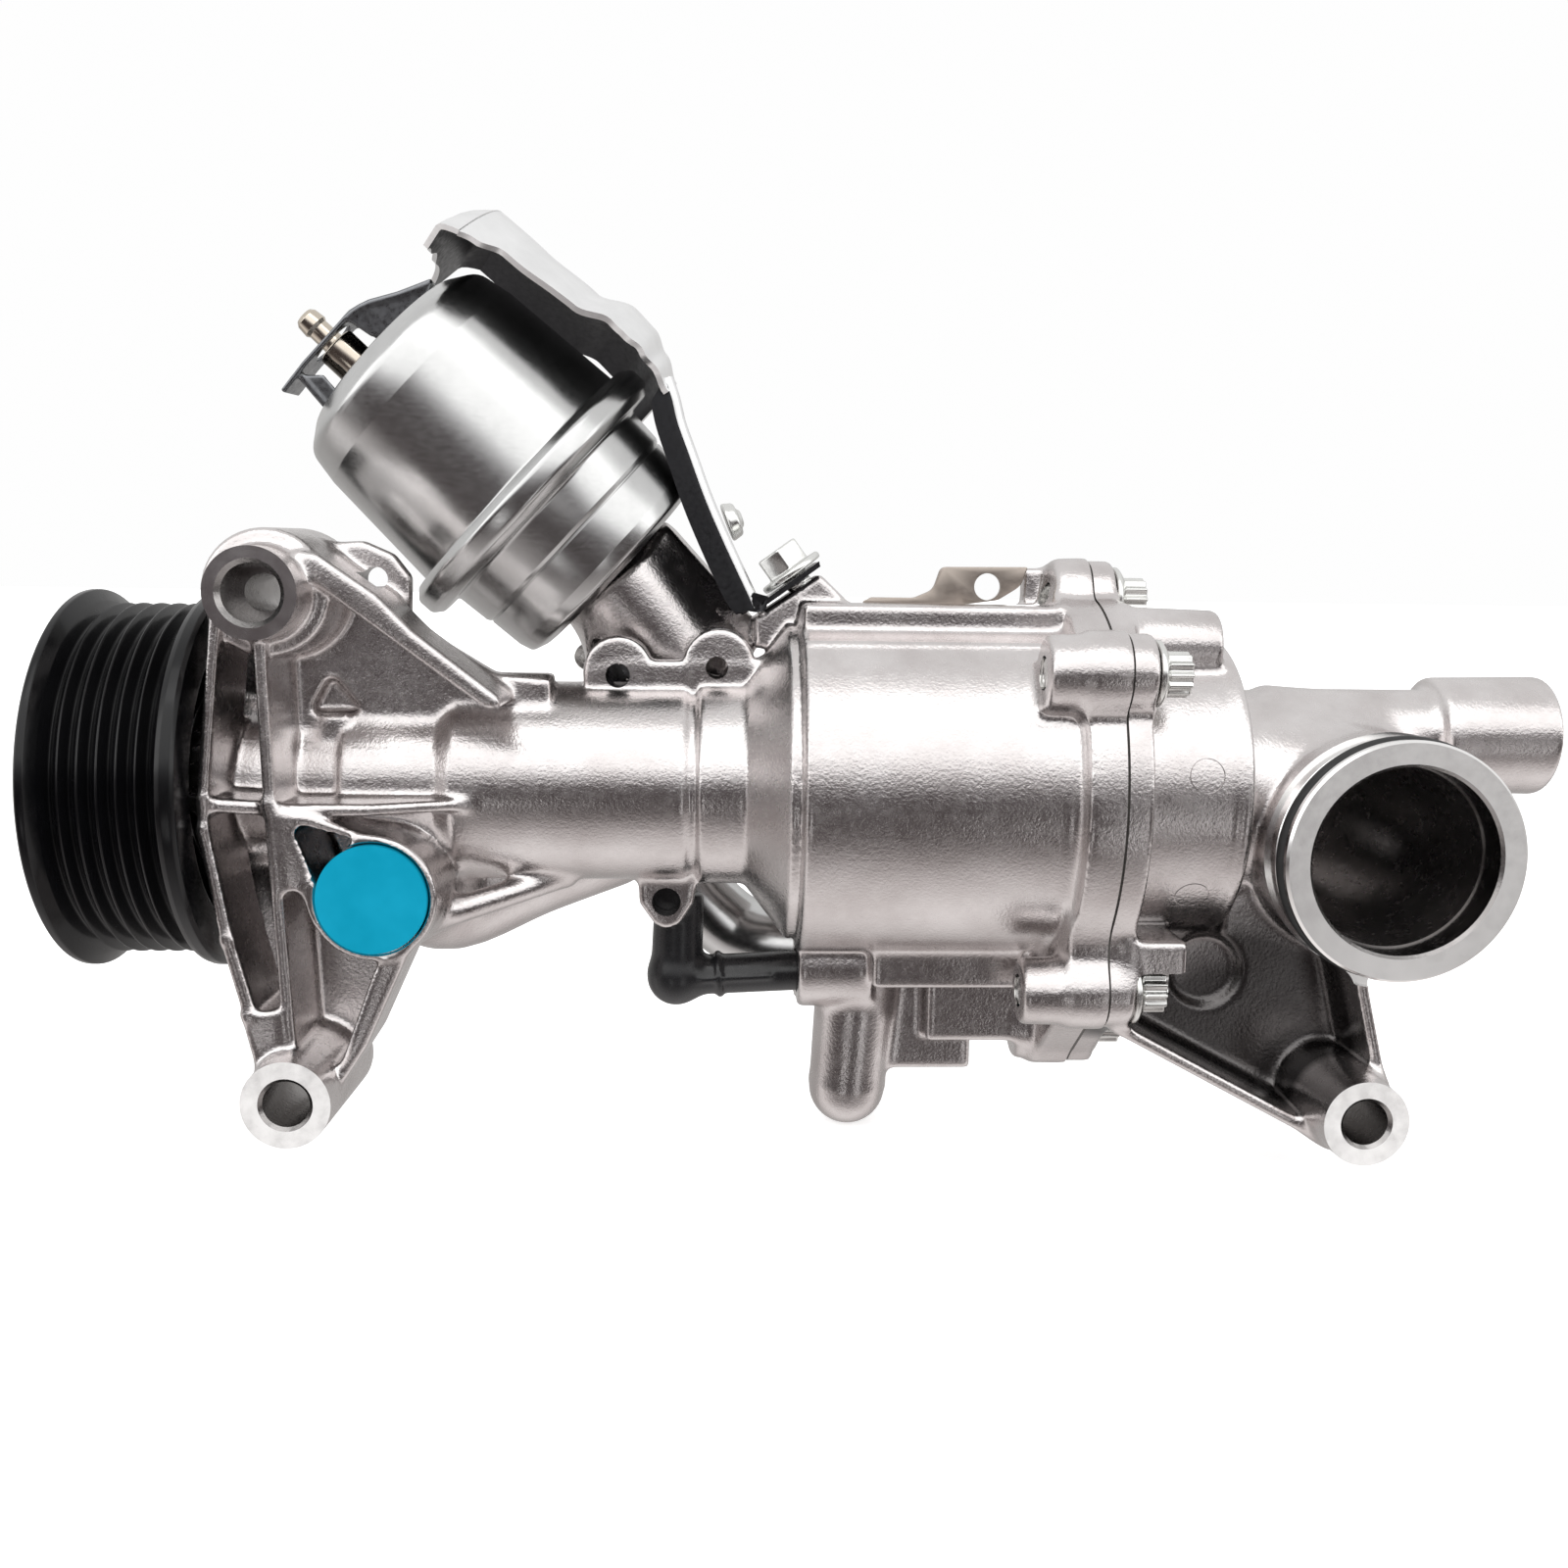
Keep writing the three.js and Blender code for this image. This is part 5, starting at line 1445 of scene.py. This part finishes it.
def shield_strap():
    """The strap, with a turned-down skirt along its near edge; the skirt and the underside are painted shade.
    """
    near, far, bend = -2.2, 17, 1.2
    path = strap_path()
    rows = []
    for i, p in enumerate(path):
        ahead = (path[min(i + 1, len(path) - 1)] - path[max(i - 1, 0)]).normalized()
        inward = Vector((-ahead.z, 0, ahead.x))
        skirt = mix([(0, 2), (0.1, 5.5), (0.55, 6), (0.68, 3), (0.74, 0), (1, 0)], i / (len(path) - 1))
        row = [Vector((p.x, far + (near - far) * j / 6, p.z)) for j in range(7)]
        for turn in (QUARTER / 3, QUARTER * 2 / 3, QUARTER):
            edge = Vector((p.x, near - bend * math.sin(turn), p.z))
            row.append(edge - inward * min(bend, skirt) * (1 - math.cos(turn)))
        for j in range(1, 5):
            edge = Vector((p.x, near - bend, p.z))
            row.append(edge - inward * (min(bend, skirt) + max(0, skirt - bend) * j / 4))
        rows.append(row)
    return sheet_from("shield_strap", rows, 1.1, [SHEET, SHADE, SHADE], painted_shade_column=9)


def shield_fasteners():
    """The rivet and the bolt that hold the shield."""
    field = Field((30, -7, 20), (42, 7, 30), SMALL_STEP)
    field.add(rod((34, 0, 24.4), (35.2, 0, 26.9), 4.3, 3.5, 0.6))
    field.add(rod((34.8, 0, 26), (35.6, 0, 27.6), 2.2, 1.8, 0.6), 0.8)
    keep(from_field("rivet", field, [PLATED], 4000, CAN), "housing", "zinc_steel", "shield_rivet")
    bolt = hex_bolt("shield_bolt_detail", 9.8, 9, 6.4, 7, tab_frame(SHIELD_BOLT_AT, 2.0))
    keep(bolt, "housing", "zinc_steel", "shield_bolt")


def valve_cover():
    """The small cover behind the can, with its three screws."""
    outline = [(28, 12, 3), (54, 9.6, 4), (57, 1, 3), (50.5, -22, 4), (35, -22, 4), (28, -14, 3)]
    plate = extrude("valve_cover_detail", outline, 16.3, 18.8, [CAST], CAN, 0.5)
    keep(plate, "housing", "cast_aluminium", "valve_cover")
    profile = [(-2.6, 0), (-2.6, 1.6, 0.2), (0, 1.6), (0, 3.2, 0.3), (1.4, 3.1, 0.5), (2.4, 2.4, 0.6),
               (2.5, 1.7, 0.2), (1.2, 1.6, 0.1), (1.2, 0)]
    for i, (x, z) in enumerate(VALVE_SCREWS):
        place = CAN @ Matrix.Translation((x, 18.9, z)) @ Matrix.Rotation(QUARTER, 4, "Z")
        screw = lathe(f"valve_cover_screw_{i + 1}_detail", profile, [PLATED], 48, place)
        keep(screw, "housing", "zinc_steel", f"valve_cover_screw_{i + 1}")


def build_actuator():
    """The vacuum can, its heat shield and the valve cover."""
    can_shells()
    nipple()
    guard()
    piece = joined("shield", [shield_roof(), shield_flap(), shield_strap()])
    keep(piece, "housing", "shield_sheet", "heat_shield", sharp=50)
    shield_fasteners()
    valve_cover()


# ---- pipes, seals, bolts and the small sheet parts ----

def bypass_elbow():
    """The black moulded elbow between the neck's lug and the chamber, with a bead and a rib."""
    y, end_z = BYPASS_END
    top, corner, end = (120.4, y, -24.8), (119.8, y, -43.5), (147, y, end_z)
    field = Field((108, -5, -54), (152, 15, -15), ELBOW_STEP)
    field.add(rod(top, corner, 5.3, 5.6, 1.2))
    field.add(ball(corner, 6.3), 1.5)
    field.add(rod(corner, end, 4.3, None, 0.5), 2)
    field.add(rod((118, -1.1, -26.2), (118, y, -26.2), 4.6, None, 0.8), 1)
    field.add(rod((128.4, y, -43.1), (129.8, y, -43), 5.1, None, 0.5), 0.6)
    field.add(wall((122, -43.4), (140, -42.5), 1.2, y - 4.9, y + 4.9, 0), 0.8)
    piece = from_field("bypass_elbow_detail", field, [BLACK_PLASTIC], 20000)
    keep(piece, "housing", "black_plastic", "bypass_elbow")


def cable_tab():
    """The brown sheet tab on top of the chamber."""
    outline = [(158, 37.7, 0.4), (160.5, 38.9, 1), (169.4, 38.9, 3), (173.4, 40.6, 3), (175, 45.4, 1.6),
               (193.4, 45.6, 0.4), (192, 41.6, 4), (187.2, 38.6, 3), (180, 37.6, 1)]
    tab = extrude("cable_tab_detail", outline, 2.0, 3.3, [BROWN], None, 0.15)
    tab = carve(tab, [cylinder(0, 6, 2.8, 48, about_y(184.9, 41.4))], 0)
    keep(tab, "housing", "brown_sheet", "cable_tab", sharp=30)


def cap():
    """The transit cap: a flat lid with a thin plug that reaches into the port."""
    profile = [(-31.5, 0), (-31.5, 10.6, 0.35), (-28.6, 10.5, 0.2), (-28.6, 8.6, 0.2), (-20, 8.5, 0.2),
               (-20, 7, 0.2), (-29.5, 6.8, 0.3), (-29.5, 0)]
    keep(lathe("port_cap_detail", profile, [BLUE], 96, about_y(*PORT)), "housing", "blue_plastic", "port_cap")


def seal_ring():
    """The O-ring of the inlet."""
    turns = [2 * math.pi * k / 24 for k in range(24)]
    profile = [(-33 + 1.75 * math.cos(turn), 22.3 + 1.75 * math.sin(turn)) for turn in turns]
    keep(lathe("seal_ring", profile, [RUBBER], 128, about_y(*INLET)), "housing", "rubber", "inlet_o_ring")


def build_small_parts():
    """The elbow, the tab, the cap, the ring, the bright pipe and the cover's bolts."""
    bypass_elbow()
    cable_tab()
    cap()
    seal_ring()
    tube = pipe("transfer_pipe_detail", TRANSFER, TRANSFER_RADIUS, [STEEL], 56, 12, TRANSFER_RADIUS - 1.2)
    keep(tube, "housing", "bright_steel", "transfer_pipe")
    for name, (y, z, _, start) in COVER_BOLTS.items():
        length = COVER_SEAT - start - BOLT_SHORT
        bolt = star_bolt(f"cover_bolt_{name}_detail", length, about_x(y, z, COVER_SEAT))
        keep(bolt, "housing", "zinc_steel", f"cover_bolt_{name}")


def dress_nodes():
    """Gives the inner CAD parts that stay their materials."""
    finishes = {
        "front_bearing_outer_ring": STEEL, "front_bearing_inner_ring": STEEL,
        "rear_bearing_outer_ring": STEEL, "rear_bearing_inner_ring": STEEL,
        "front_bearing_ball_cage": BRASS, "rear_bearing_ball_cage": BRASS,
        "seal_case": BRASS, "seal_carbon_ring": CARBON, "seal_mating_ring": STEEL,
        "impeller": BLACK_PLASTIC, "diaphragm": RUBBER, "diaphragm_plate": DARK,
        "return_spring": STEEL, "push_rod": STEEL, "valve_spindle": DARK, "cover_gasket": GASKET,
    }
    for name, material in finishes.items():
        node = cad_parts[name]
        for slot in node.material_slots:
            slot.material = material


def build():
    """The whole picture: the studio, then every piece of the part."""
    studio()
    keep(housing_casting(), "housing", "cast_aluminium", "pump_housing")
    keep(cover_casting(), "housing", "cast_aluminium", "pump_cover")
    build_rotor()
    build_actuator()
    build_small_parts()
    dress_nodes()


build()
